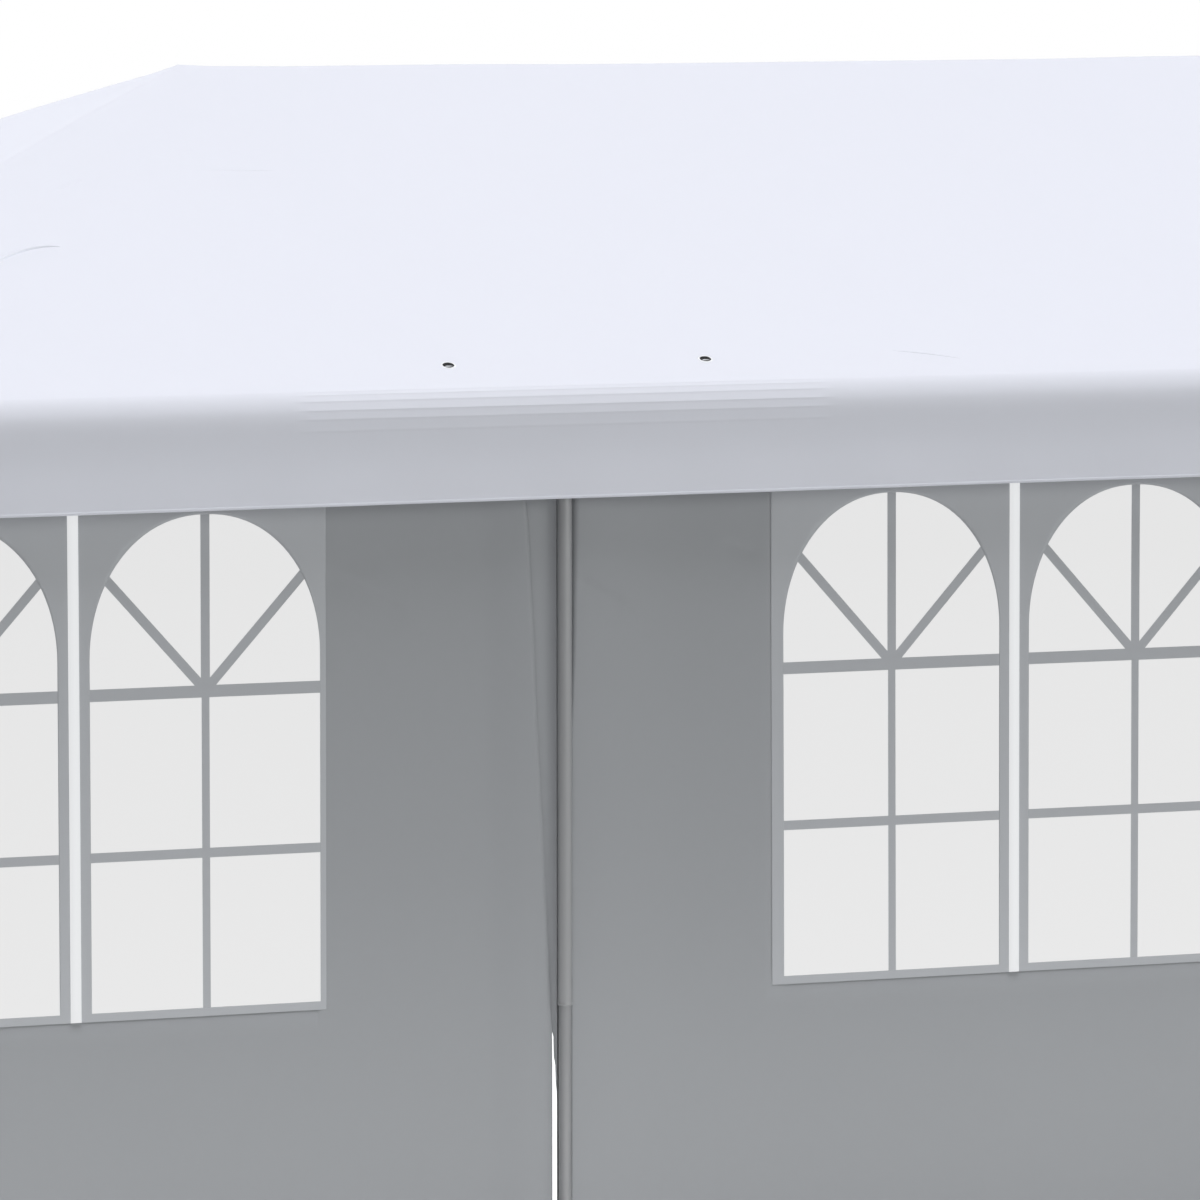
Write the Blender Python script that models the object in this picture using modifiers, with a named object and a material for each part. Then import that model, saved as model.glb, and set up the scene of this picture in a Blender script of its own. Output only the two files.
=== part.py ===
"""Hip-roofed marquee tent: a steel tube frame, one roof cover, wall panels with arched windows, and films.

Metres, +Z up. The long side runs along X, and the front wall faces -Y. The ground is at z = 0.
"""

from math import cos, pi, sin

import bmesh
import bpy
from mathutils import Matrix, Quaternion, Vector

# Plan and heights of the frame, between the tubes' centre lines
BAY = 2.0
BAYS = 3
WIDTH = 3.0
EAVE_HEIGHT = 1.985
RIDGE_RISE = 0.594
HIP_RUN = 1.5

# Tubes, connectors and feet
TUBE_RADIUS = 0.015
LOWER_TUBE_RADIUS = 0.0135
LEG_JOINT_HEIGHT = 0.726
SLEEVE_RADIUS = 0.019
SLEEVE_LENGTH = 0.110
SLEEVE_ROLL = 0.09
FOOT_RADIUS = 0.040
FOOT_THICKNESS = 0.004
TUBE_SIDES = 16

# Sheets
TOUCH = 0.0003
CLOTH = 0.003
FILM = 0.001
COVER_CLEARANCE = 0.0276
COVER_BEVEL = 0.042
COVER_BEVEL_STEPS = 4
CORNER_BEVEL_SHARE = 0.18
HIP_BEVEL_SHARE = 0.13
RIDGE_BEVEL_SHARE = 1.00
VALANCE_BOTTOM = 1.783
WALL_BOTTOM = 0.012
WALL_TOP_DROP = 0.022

# Windows of a side panel, measured from the panel's own middle
WINDOW_SHIFT = 0.019
WINDOW_OFFSET = 0.268
WINDOW_WIDTH = 0.470
WINDOW_BOTTOM = 0.757
ARCH_SPRING = 1.500
ARCH_TOP = 1.768
ARCH_STEPS = 20
FILM_MARGIN = 0.020

HALF_LENGTH = BAY * BAYS / 2
HALF_WIDTH = WIDTH / 2
RIDGE_HEIGHT = EAVE_HEIGHT + RIDGE_RISE
RIDGE_END = HALF_LENGTH - HIP_RUN
LEG_STATIONS = [-HALF_LENGTH + BAY * i for i in range(BAYS + 1)]
BAY_STATIONS = [-HALF_LENGTH + BAY * (i + 0.5) for i in range(BAYS)]
SIDES = {"front": -1, "back": 1}
ENDS = {"left": -1, "right": 1}

# Base colour, roughness and metallic value of each finish
FINISHES = {
    "steel_tube": ((0.66, 0.67, 0.68, 1.0), 0.38, 0.25),
    "steel_connector": ((0.60, 0.61, 0.62, 1.0), 0.42, 0.35),
    "roof_cloth": ((0.80, 0.82, 0.88, 1.0), 0.55, 0.0),
    "wall_cloth": ((0.33, 0.34, 0.35, 1.0), 0.60, 0.0),
    "window_film": ((0.85, 0.85, 0.85, 1.0), 0.25, 0.0),
}


def clear_scene():
    """Remove every object that the file opened with."""
    for obj in list(bpy.data.objects):
        bpy.data.objects.remove(obj, do_unlink=True)


def new_collection(name, helpers=False):
    """A collection under the scene; one for helpers is left out of renders."""
    collection = bpy.data.collections.new(name)
    bpy.context.scene.collection.children.link(collection)
    collection.hide_render = helpers
    return collection


def finish(obj, name):
    """Give an object the material called name, made on first use."""
    material = bpy.data.materials.get(name)
    if material is None:
        material = bpy.data.materials.new(name)
        material.use_nodes = True
        shader = material.node_tree.nodes["Principled BSDF"]
        color, roughness, metallic = FINISHES[name]
        shader.inputs["Base Color"].default_value = color
        shader.inputs["Roughness"].default_value = roughness
        shader.inputs["Metallic"].default_value = metallic
    obj.data.materials.clear()
    obj.data.materials.append(material)


def rehome(obj, collection):
    """Move a new object from the scene's own collection to this one."""
    for owner in list(obj.users_collection):
        owner.objects.unlink(obj)
    collection.objects.link(obj)


def object_from(mesh_builder, name, collection):
    """A named object whose mesh is drawn by a function that takes a bmesh."""
    mesh = bpy.data.meshes.new(name)
    drawing = bmesh.new()
    mesh_builder(drawing)
    drawing.to_mesh(mesh)
    drawing.free()
    obj = bpy.data.objects.new(name, mesh)
    collection.objects.link(obj)
    return obj


def as_helper(obj):
    """Mark an object as a tool for a Boolean."""
    obj.hide_render = True
    obj.display_type = "WIRE"
    return obj


def combine(obj, other, operation):
    """Leave a live Boolean on obj."""
    modifier = obj.modifiers.new(operation.lower() + "_" + other.name, "BOOLEAN")
    modifier.operation = operation
    modifier.solver = "EXACT"
    modifier.object = other


def rod(name, start, end, radius, collection, roll=0.0):
    """A round bar from start to end; roll turns its flats about its own line."""
    start, end = Vector(start), Vector(end)
    bpy.ops.mesh.primitive_cylinder_add(vertices=TUBE_SIDES, radius=radius, depth=(end - start).length)
    obj = bpy.context.object
    obj.name = name
    obj.data.name = name
    obj.location = (start + end) / 2
    aim = (end - start).to_track_quat("Z", "Y") @ Quaternion((0, 0, 1), roll)
    obj.rotation_euler = aim.to_euler()
    rehome(obj, collection)
    return obj


def tube_between(name, start, end, parts):
    """A frame tube whose ends stop just short of the sleeves around the nodes start and end."""
    start, end = Vector(start), Vector(end)
    trim = (end - start).normalized() * (SLEEVE_LENGTH + TOUCH)
    obj = rod(name, start + trim, end - trim, TUBE_RADIUS, parts)
    finish(obj, "steel_tube")


def sheet_box(name, low, high, collection):
    """A flat box between two corners."""
    low, high = Vector(low), Vector(high)

    def draw(drawing):
        bmesh.ops.create_cube(drawing, size=1.0)
        size = high - low
        bmesh.ops.scale(drawing, vec=size, verts=drawing.verts)
        bmesh.ops.translate(drawing, vec=(low + high) / 2, verts=drawing.verts)

    return object_from(draw, name, collection)


def eave_node(x, side):
    """Where the frame's centre lines meet at the eave."""
    return Vector((x, side * HALF_WIDTH, EAVE_HEIGHT))


def ridge_node(x):
    """A point of the ridge's centre line."""
    return Vector((x, 0.0, RIDGE_HEIGHT))


def hip_end(x):
    """The end of the ridge nearest to a corner at this x."""
    return ridge_node(RIDGE_END if x > 0 else -RIDGE_END)


def connector(name, centre, targets, parts, helpers):
    """Sleeves from centre towards each target, as one solid; two in line are one sleeve that passes through.

    Each sleeve is rolled by its own amount, so that no two share an edge where they meet.
    """
    centre = Vector(centre)
    directions = [(Vector(target) - centre).normalized() for target in targets]
    sleeves = []
    for number, direction in enumerate(directions):
        opposite = [other for other in directions[:number] if direction.dot(other) < -0.999]
        if opposite:
            continue
        through = any(direction.dot(other) < -0.999 for other in directions)
        start = centre - direction * SLEEVE_LENGTH if through else centre
        end = centre + direction * SLEEVE_LENGTH
        roll = SLEEVE_ROLL * number
        sleeves.append(rod(f"{name}_sleeve_{number}", start, end, SLEEVE_RADIUS, helpers, roll))
    base = sleeves[0]
    base.name = name
    rehome(base, parts)
    for sleeve in sleeves[1:]:
        combine(base, as_helper(sleeve), "UNION")
    weld = base.modifiers.new("weld", "WELD")
    weld.merge_threshold = 0.0001
    finish(base, "steel_connector")


def leg(name, x, y, parts):
    """A turned leg: foot plate, narrow lower tube, and the upper tube that slips over it."""
    top = EAVE_HEIGHT - SLEEVE_LENGTH - TOUCH
    profile = [
        (0.0, top),
        (TUBE_RADIUS, top),
        (TUBE_RADIUS, LEG_JOINT_HEIGHT),
        (LOWER_TUBE_RADIUS, LEG_JOINT_HEIGHT),
        (LOWER_TUBE_RADIUS, FOOT_THICKNESS),
        (FOOT_RADIUS, FOOT_THICKNESS),
        (FOOT_RADIUS, 0.0),
        (0.0, 0.0),
    ]

    def draw(drawing):
        points = [drawing.verts.new((radius, 0.0, height)) for radius, height in profile]
        for first, second in zip(points, points[1:]):
            drawing.edges.new((first, second))

    obj = object_from(draw, name, parts)
    obj.location = (x, y, 0.0)
    turn = obj.modifiers.new("turn", "SCREW")
    turn.axis = "Z"
    turn.steps = TUBE_SIDES
    turn.render_steps = TUBE_SIDES
    turn.use_merge_vertices = True
    turn.merge_threshold = 0.0001
    finish(obj, "steel_tube")


def build_legs(parts):
    for side_name, side in SIDES.items():
        for number, x in enumerate(LEG_STATIONS, start=1):
            leg(f"{side_name}_leg_{number}", x, side * HALF_WIDTH, parts)


def build_eave(parts, helpers):
    """Connectors over the legs, with the eave poles between them."""
    for side_name, side in SIDES.items():
        for number, x in enumerate(LEG_STATIONS, start=1):
            centre = eave_node(x, side)
            below = centre - Vector((0, 0, 1))
            along = [eave_node(other, side) for other in LEG_STATIONS if abs(abs(other - x) - BAY) < TOUCH]
            corner = abs(x) > HALF_LENGTH - TOUCH
            if corner:
                inward = [eave_node(x, -side), hip_end(x)]
            else:
                inward = [ridge_node(x)]
            connector(f"{side_name}_eave_connector_{number}", centre, [below] + along + inward, parts, helpers)
        for number, (first, second) in enumerate(zip(LEG_STATIONS, LEG_STATIONS[1:]), start=1):
            name = f"{side_name}_eave_pole_{number}"
            tube_between(name, eave_node(first, side), eave_node(second, side), parts)
    for end_name, end in ENDS.items():
        x = end * HALF_LENGTH
        tube_between(f"{end_name}_eave_pole", eave_node(x, -1), eave_node(x, 1), parts)


def build_ridge(parts, helpers):
    """Ridge, hip poles and rafters with the connectors that hold them."""
    inner = LEG_STATIONS[1:-1]
    stations = [-RIDGE_END] + inner + [RIDGE_END]
    for number, (first, second) in enumerate(zip(stations, stations[1:]), start=1):
        tube_between(f"ridge_pole_{number}", ridge_node(first), ridge_node(second), parts)
    for number, x in enumerate(inner, start=1):
        targets = [ridge_node(x - 1), ridge_node(x + 1), eave_node(x, -1), eave_node(x, 1)]
        connector(f"ridge_tee_{number}", ridge_node(x), targets, parts, helpers)
        for side_name, side in SIDES.items():
            tube_between(f"{side_name}_rafter_{number}", eave_node(x, side), ridge_node(x), parts)
    for end_name, end in ENDS.items():
        apex = ridge_node(end * RIDGE_END)
        corners = [eave_node(end * HALF_LENGTH, side) for side in SIDES.values()]
        connector(f"{end_name}_ridge_connector", apex, [ridge_node(0.0)] + corners, parts, helpers)
        for side_name, side in SIDES.items():
            tube_between(f"{end_name}_{side_name}_hip_pole", eave_node(end * HALF_LENGTH, side), apex, parts)


def fold_share(edge):
    """How much of the full rounding a fold of the cover gets."""
    first, second = [vert.co for vert in edge.verts]
    level = abs(first.z - second.z) < TOUCH
    at_eave = min(first.z, second.z) > VALANCE_BOTTOM + TOUCH and max(first.z, second.z) < RIDGE_HEIGHT
    if edge.is_boundary:
        return 0.0
    if level:
        return 1.0 if at_eave else RIDGE_BEVEL_SHARE
    return HIP_BEVEL_SHARE if max(first.z, second.z) > RIDGE_HEIGHT else CORNER_BEVEL_SHARE


def build_cover(parts):
    """Roof and valance in one sheet: a hipped box with its folds rounded, then given its thickness."""
    slope = RIDGE_RISE / HALF_WIDTH
    roof_lift = COVER_CLEARANCE * (1 + slope**2) ** 0.5
    half_x = HALF_LENGTH + COVER_CLEARANCE
    half_y = HALF_WIDTH + COVER_CLEARANCE
    fold = EAVE_HEIGHT + roof_lift - slope * COVER_CLEARANCE
    ridge = RIDGE_HEIGHT + roof_lift

    def draw(drawing):
        bmesh.ops.create_cube(drawing, size=1.0)
        top = [face for face in drawing.faces if face.normal.z > 0.9]
        bottom = [face for face in drawing.faces if face.normal.z < -0.9]
        bmesh.ops.delete(drawing, geom=bottom, context="FACES_ONLY")
        for vert in drawing.verts:
            height = fold if vert.co.z > 0 else VALANCE_BOTTOM
            vert.co = Vector((vert.co.x * 2 * half_x, vert.co.y * 2 * half_y, height))
        raised = bmesh.ops.extrude_discrete_faces(drawing, faces=top)["faces"]
        loose = {vert for face in raised for vert in face.verts}
        for vert in loose:
            vert.co = Vector((RIDGE_END if vert.co.x > 0 else -RIDGE_END, 0.0, ridge))
        bmesh.ops.remove_doubles(drawing, verts=drawing.verts, dist=0.0001)
        bmesh.ops.dissolve_degenerate(drawing, dist=0.0001, edges=drawing.edges)
        bmesh.ops.recalc_face_normals(drawing, faces=drawing.faces)
        weight = drawing.edges.layers.float.new("bevel_weight_edge")
        for edge in drawing.edges:
            edge[weight] = fold_share(edge)

    cover = object_from(draw, "roof_cover", parts)
    rounding = cover.modifiers.new("round_folds", "BEVEL")
    rounding.width = COVER_BEVEL
    rounding.segments = COVER_BEVEL_STEPS
    rounding.limit_method = "WEIGHT"
    thickness = cover.modifiers.new("thickness", "SOLIDIFY")
    thickness.thickness = CLOTH
    thickness.offset = 1.0
    finish(cover, "roof_cloth")


def window_cutter(name, middle, wall_y, helpers):
    """An upright bar with an arched outline, as wide and high as a window, that passes through the wall."""
    reach = 0.050
    half = WINDOW_WIDTH / 2

    def draw(drawing):
        outline = [Vector((-half, 0, WINDOW_BOTTOM)), Vector((half, 0, WINDOW_BOTTOM))]
        for step in range(ARCH_STEPS + 1):
            angle = pi * step / ARCH_STEPS
            height = ARCH_SPRING + (ARCH_TOP - ARCH_SPRING) * sin(angle)
            outline.append(Vector((half * cos(angle), 0, height)))
        face = drawing.faces.new([drawing.verts.new(point) for point in outline])
        pushed = bmesh.ops.extrude_face_region(drawing, geom=[face])["geom"]
        moved = [item for item in pushed if isinstance(item, bmesh.types.BMVert)]
        bmesh.ops.translate(drawing, vec=(0, 2 * reach, 0), verts=moved)
        bmesh.ops.transform(drawing, matrix=Matrix.Translation((middle, wall_y - reach, 0)), verts=drawing.verts)
        bmesh.ops.recalc_face_normals(drawing, faces=drawing.faces)

    return as_helper(object_from(draw, name, helpers))


def window_middles(bay, side):
    """The x of a panel's two windows; the pair sits a little to the left, seen from outside."""
    middle = bay + side * WINDOW_SHIFT
    return [middle - WINDOW_OFFSET, middle + WINDOW_OFFSET]


def build_side_walls(parts, helpers):
    """Panels behind the legs, one a bay, each with two windows and one film that closes both."""
    outer = HALF_WIDTH - SLEEVE_RADIUS - TOUCH
    top = EAVE_HEIGHT - WALL_TOP_DROP
    for side_name, side in SIDES.items():
        wall_faces = sorted([side * outer, side * (outer - CLOTH)])
        film_outer = outer - CLOTH - TOUCH
        film_faces = sorted([side * film_outer, side * (film_outer - FILM)])
        for number, bay in enumerate(BAY_STATIONS, start=1):
            left = bay - BAY / 2 + (TOUCH / 2 if number > 1 else 0.0)
            right = bay + BAY / 2 - (TOUCH / 2 if number < BAYS else 0.0)
            low = (left, wall_faces[0], WALL_BOTTOM)
            high = (right, wall_faces[1], top)
            panel = sheet_box(f"{side_name}_wall_panel_{number}", low, high, parts)
            middles = window_middles(bay, side)
            for place, middle in zip(("left", "right"), middles):
                name = f"{side_name}_{number}_{place}_window_cutter"
                combine(panel, window_cutter(name, middle, side * outer, helpers), "DIFFERENCE")
            finish(panel, "wall_cloth")
            reach = WINDOW_WIDTH / 2 + FILM_MARGIN
            low = (middles[0] - reach, film_faces[0], WINDOW_BOTTOM - FILM_MARGIN)
            high = (middles[1] + reach, film_faces[1], ARCH_TOP + FILM_MARGIN)
            film = sheet_box(f"{side_name}_window_film_{number}", low, high, parts)
            finish(film, "window_film")


def build_end_walls(parts):
    """A plain wall between the side panels at each end."""
    outer = HALF_LENGTH - SLEEVE_RADIUS - TOUCH
    reach = HALF_WIDTH - SLEEVE_RADIUS - CLOTH - 2 * TOUCH
    for end_name, end in ENDS.items():
        faces = sorted([end * outer, end * (outer - CLOTH)])
        low = (faces[0], -reach, WALL_BOTTOM)
        high = (faces[1], reach, EAVE_HEIGHT - WALL_TOP_DROP)
        finish(sheet_box(f"{end_name}_end_wall", low, high, parts), "wall_cloth")


def main():
    clear_scene()
    parts = new_collection("marquee_tent")
    helpers = new_collection("cutters", helpers=True)
    build_legs(parts)
    build_eave(parts, helpers)
    build_ridge(parts, helpers)
    build_cover(parts)
    build_side_walls(parts, helpers)
    build_end_walls(parts)


main()
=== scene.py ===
"""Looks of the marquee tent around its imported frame: cloth, window films, seams, metal, light and camera.

Metres, +Z up. The front wall faces -Y and the long side runs along X. Every cloth piece is a grid of
points worked out as whole numpy arrays, and each function says its formula in words.
"""

from math import pi, radians

import bmesh
import bpy
import numpy as np
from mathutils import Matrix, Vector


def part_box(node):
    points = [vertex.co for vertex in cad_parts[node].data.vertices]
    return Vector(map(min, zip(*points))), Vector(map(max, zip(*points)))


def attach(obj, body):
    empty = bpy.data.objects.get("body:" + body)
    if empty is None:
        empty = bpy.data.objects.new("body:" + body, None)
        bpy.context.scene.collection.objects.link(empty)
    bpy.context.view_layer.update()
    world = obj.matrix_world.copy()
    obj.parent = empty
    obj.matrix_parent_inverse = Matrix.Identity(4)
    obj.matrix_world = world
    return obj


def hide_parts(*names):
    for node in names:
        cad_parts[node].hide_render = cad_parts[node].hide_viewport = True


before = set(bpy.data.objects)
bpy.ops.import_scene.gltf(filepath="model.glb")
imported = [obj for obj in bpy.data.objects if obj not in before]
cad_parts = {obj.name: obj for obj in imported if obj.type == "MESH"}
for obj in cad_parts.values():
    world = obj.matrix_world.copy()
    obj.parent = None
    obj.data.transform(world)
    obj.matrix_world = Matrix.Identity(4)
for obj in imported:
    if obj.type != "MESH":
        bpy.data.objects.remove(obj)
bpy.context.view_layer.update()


def node_box(name):
    """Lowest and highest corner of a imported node."""
    low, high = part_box(name)
    return np.array(low), np.array(high)


def node_middle(name):
    """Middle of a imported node's box."""
    low, high = node_box(name)
    return (low + high) / 2


# Frame sizes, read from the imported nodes
POST_X = [node_middle(f"front_leg_{number}")[0] for number in (1, 2, 3, 4)]
HALF_BAY = (POST_X[1] - POST_X[0]) / 2
HALF_LENGTH = POST_X[3]
HALF_WIDTH = node_middle("back_leg_1")[1]
EAVE_Z = node_middle("front_eave_pole_1")[2]
TUBE_RADIUS = node_box("front_eave_pole_1")[1][2] - EAVE_Z
RIDGE_Z = node_middle("ridge_pole_1")[2]
RIDGE_END = HALF_LENGTH - HALF_WIDTH
HEM_Z = node_box("roof_cover")[0][2]
WALL_LOW, WALL_HIGH = node_box("front_wall_panel_2")
WALL_FACE, WALL_FOOT, WALL_TOP = -WALL_LOW[1], WALL_LOW[2], WALL_HIGH[2]
END_FACE = node_box("right_end_wall")[1][0]
END_GAP = 0.024
END_REACH = HALF_WIDTH - END_GAP

SIDES = {"front": -1, "back": 1}
ENDS = {"left": -1, "right": 1}
TINY = 1e-6
NARROW = 0.001


# Numbers

def smooth(values, low, high):
    """An eased step: 0 up to low, 1 from high on, with level ends."""
    t = np.clip((values - low) / (high - low), 0.0, 1.0)
    return t * t * (3.0 - 2.0 * t)


def hump(distance, width):
    """A soft hump: 1 at no distance, and nearly 0 from two widths on."""
    return np.exp(-((distance / width) ** 2))


def inside(values, limits):
    """Where the values lie between the two limits."""
    return (values > limits[0]) & (values < limits[1])


def middles(values):
    """The places halfway between neighbouring values."""
    return (values[:-1] + values[1:]) / 2


def stations(low, high, step, bands=()):
    """Places from low to high about a step apart, and closer inside each (low, high, step) band."""
    edges = [edge for band in bands for edge in band[:2] if low < edge < high]
    cuts = sorted({round(cut, 5) for cut in (low, high, *edges)})
    runs = []
    for start, end in zip(cuts, cuts[1:]):
        middle = (start + end) / 2
        fine = min([step] + [band[2] for band in bands if band[0] < middle < band[1]])
        count = max(1, round((end - start) / fine))
        runs.append(np.linspace(start, end, count + 1)[:-1])
    return np.append(np.concatenate(runs), cuts[-1])


def ripple(across, along, seed):
    """Soft unevenness of hung cloth between -1 and 1: three slow waves in different directions."""
    phase = np.array([0.7, 2.9, 4.6]) * (seed + 1)
    first = np.sin(2.3 * across + 1.1 * along + phase[0])
    second = np.sin(5.2 * across - 2.4 * along + phase[1])
    third = np.sin(9.7 * across + 4.1 * along + phase[2])
    return 0.5 * first + 0.32 * second + 0.18 * third


def crease(x, y, start, end, width):
    """A soft fold along the line from start to end, between 0 and -1.

    Coming down to the line the cloth falls back over the width, and below it slowly comes forward again.
    The fold fades at both its ends.
    """
    start, end = np.array(start), np.array(end)
    length = np.linalg.norm(end - start)
    along_x, along_y = (end - start) / length
    along = (x - start[0]) * along_x + (y - start[1]) * along_y
    above = (y - start[1]) * along_x - (x - start[0]) * along_y
    fade = smooth(along, 0.0, length * 0.25) * (1.0 - smooth(along, length * 0.75, length))
    falling = np.clip(1.0 - above / width, 0.0, 1.0)
    returning = np.exp(np.minimum(above, 0.0) / (3.0 * width))
    return -np.where(above > 0, falling, returning) * fade


# Meshes and pieces

def grid_faces(rows, columns, closed=False):
    """Four-sided faces of a grid of points; a closed grid joins its last column to its first."""
    index = np.arange(rows * columns).reshape(rows, columns)
    if closed:
        index = np.hstack([index, index[:, :1]])
    corners = [index[:-1, :-1], index[:-1, 1:], index[1:, 1:], index[1:, :-1]]
    return np.stack(corners, axis=-1).reshape(-1, 4)


def mesh_from(name, points, faces, uv=None):
    """A smooth mesh of quads; uv gives each face corner its place on the flat cloth, in metres."""
    points = np.ascontiguousarray(points.reshape(-1, 3), dtype=np.float32)
    faces = np.ascontiguousarray(faces, dtype=np.int32)
    mesh = bpy.data.meshes.new(name)
    mesh.vertices.add(len(points))
    mesh.vertices.foreach_set("co", points.ravel())
    mesh.loops.add(faces.size)
    mesh.loops.foreach_set("vertex_index", faces.ravel())
    mesh.polygons.add(len(faces))
    mesh.polygons.foreach_set("loop_start", np.arange(0, faces.size, 4, dtype=np.int32))
    if uv is not None:
        layer = mesh.uv_layers.new(name="cloth")
        layer.data.foreach_set("uv", np.ascontiguousarray(uv, dtype=np.float32).ravel())
    mesh.update(calc_edges=True)
    mesh.validate()
    mesh.shade_smooth()
    return mesh


def sheet_mesh(name, points, uv_across, uv_up, keep=None):
    """A mesh from a grid of points whose flat places are given, without the faces that keep leaves out."""
    faces = grid_faces(*points.shape[:2])
    flat = np.stack(np.broadcast_arrays(uv_across, uv_up), axis=-1).reshape(-1, 2)
    if keep is not None:
        faces = faces[keep.ravel()]
    return mesh_from(name, points, faces, flat[faces])


def joined_mesh(name, grids, flat=None, closed=False, flip=False):
    """One mesh of several grids of points, with their flat places if given; flip turns the faces over."""
    faces, start = [], 0
    for grid in grids:
        quads = grid_faces(*grid.shape[:2], closed)
        faces.append((quads[:, ::-1] if flip else quads) + start)
        start += grid.shape[0] * grid.shape[1]
    faces = np.concatenate(faces)
    points = np.concatenate([grid.reshape(-1, 3) for grid in grids])
    if flat is None:
        return mesh_from(name, points, faces)
    return mesh_from(name, points, faces, np.concatenate([places.reshape(-1, 2) for places in flat])[faces])


def weld(mesh, distance):
    """Merge points that lie on one another, and drop the faces that this leaves without area."""
    work = bmesh.new()
    work.from_mesh(mesh)
    bmesh.ops.remove_doubles(work, verts=work.verts, dist=distance)
    bmesh.ops.dissolve_degenerate(work, dist=distance, edges=work.edges)
    work.to_mesh(mesh)
    work.free()
    mesh.shade_smooth()


def piece(mesh, material, replaced=(), thickness=0.0):
    """A finished piece at the origin, riding on the tent; a sheet is thickened behind its outer face."""
    mesh.materials.append(material)
    obj = bpy.data.objects.new(mesh.name, mesh)
    bpy.context.scene.collection.objects.link(obj)
    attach(obj, "root")
    if replaced:
        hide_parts(*replaced)
    if thickness:
        solid = obj.modifiers.new("thickness", "SOLIDIFY")
        solid.thickness = thickness
        solid.offset = -1.0
    return obj


def turned(profile, centre, axis, sides):
    """Points of a turned form: each (radius, height) of the profile becomes a circle round the axis."""
    profile, axis = np.array(profile, dtype=float), np.array(axis, dtype=float)
    helper = np.array([1.0, 0.0, 0.0]) if abs(axis[0]) < 0.9 else np.array([0.0, 1.0, 0.0])
    first = np.cross(helper, axis)
    first /= np.linalg.norm(first)
    second = np.cross(axis, first)
    angle = np.linspace(0.0, 2.0 * pi, sides, endpoint=False)
    circle = np.cos(angle)[:, None] * first + np.sin(angle)[:, None] * second
    return np.array(centre) + profile[:, :1, None] * circle + profile[:, 1:, None] * axis


# Walls: a place is given across (to the right, seen from outside), proud (outward) and up

def make_wall(name, origin, along, outward, seed, depth, **more):
    """A flat wall face to hang cloth on: its middle, its directions right and outward, and its depth."""
    return {"name": name, "origin": np.array(origin), "along": np.array(along),
            "outward": np.array(outward), "seed": seed, "depth": depth, **more}


def side_walls():
    """The six bays of the long sides, with their numbers and which of their posts are inner ones."""
    walls = []
    for side_name, side in SIDES.items():
        for number in (1, 2, 3):
            middle = (POST_X[number - 1] + POST_X[number]) / 2
            inner = (number > 1, number < 3)
            walls.append(make_wall(
                f"{side_name}_wall_panel_{number}", (middle, side * WALL_FACE), (-side, 0.0), (0.0, side),
                number + 3 * (side > 0), panel_depth, side=side_name, number=number,
                inner_left=inner[side > 0], inner_right=inner[side < 0]))
    return walls


def end_walls():
    """The two short ends."""
    return [make_wall(f"{name}_end_wall", (end * END_FACE, 0.0), (0.0, end), (end, 0.0), 8 + end, end_depth)
            for name, end in ENDS.items()]


def stand(wall, across, proud, up):
    """Points of a wall: origin + across * along + proud * outward, at height up."""
    across, proud, up = np.broadcast_arrays(across, proud, up)
    flat = wall["origin"] + across[..., None] * wall["along"] + proud[..., None] * wall["outward"]
    return np.concatenate([flat, up[..., None]], axis=-1)


# Creases by panel number: start, end, width and height of each
WALL_CREASES = {
    1: (((0.480, 1.650), (0.690, 1.543), 0.022, 0.0036),
        ((0.520, 1.560), (0.590, 1.528), 0.012, 0.0012)),
    2: (((-1.000, 1.618), (-0.850, 1.546), 0.024, 0.0036),
        ((-0.665, 1.680), (-0.575, 1.646), 0.014, 0.0018)),
    3: (((0.540, 1.430), (0.690, 1.350), 0.022, 0.0032),
        ((-0.760, 1.640), (-0.640, 1.580), 0.020, 0.0028)),
}
# Slow ripples of the cloth: height, and how far from a post and from the top they come in
PANEL_RIPPLE = 0.0030
END_RIPPLE = 0.006
END_RIPPLE_SCALE = 1.2
PANEL_HELD = (0.02, 0.35)
END_HELD = (0.02, 0.32)
TOP_HELD = (0.0, 0.5)

# The lip on the right of an inner post: how far back it starts, its height, where it rises and falls, and
# its lean aside, strongest at the middle one of three places and set by height
LIP_BACK = 0.0030
LIP_HEIGHT = 0.0185
LIP_RISE = (0.0060, 0.0150)
LIP_FALL = (0.019, 0.26)
LIP_PLACE = [0.006, 0.0165, 0.120]
LIP_SHIFT = ([1.15, 1.30, 1.37, 1.48, 1.61, 1.77], [0.0, 0.0020, 0.0062, 0.0116, 0.0152, 0.0185])

# The flap on the left of an inner post: its rise towards the post, and its bend up against the tube
FLAP_STEP = 0.0015
FLAP_STEP_PLACE = (0.16, 0.09)
FLAP_RISE = 0.0072
FLAP_RISE_PLACE = (-0.17, -0.06)
FLAP_BEND = 0.0120
FLAP_WIDTH = 0.036
FLAP_CURVE = 2.2
FLAP_END = (-0.0140, -0.0060)
TUBE_CLEARANCE = 0.0008

# How far left of an inner post each panel's edge stands, by height: the panel on the left, and on the right
LEFT_EDGE = (
    [0.0, 0.60, 0.670, 0.729, 0.818, 1.237, 1.362, 1.473, 1.628, 1.687, 1.772],
    [0.0250, 0.0249, 0.0253, 0.0292, 0.0311, 0.0498, 0.0572, 0.0609, 0.0691, 0.0713, 0.0784])
RIGHT_EDGE = (
    [0.0, 0.426, 0.480, 0.521, 0.543, 0.560, 0.600, 0.615, 0.660, 0.676, 0.690, 0.80, 1.05, 1.80],
    [0.0154, 0.0154, 0.0156, 0.0162, 0.0166, 0.0180, 0.0190, 0.0214, 0.0222, 0.0264, 0.0320, 0.052,
     0.074, 0.100])
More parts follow.
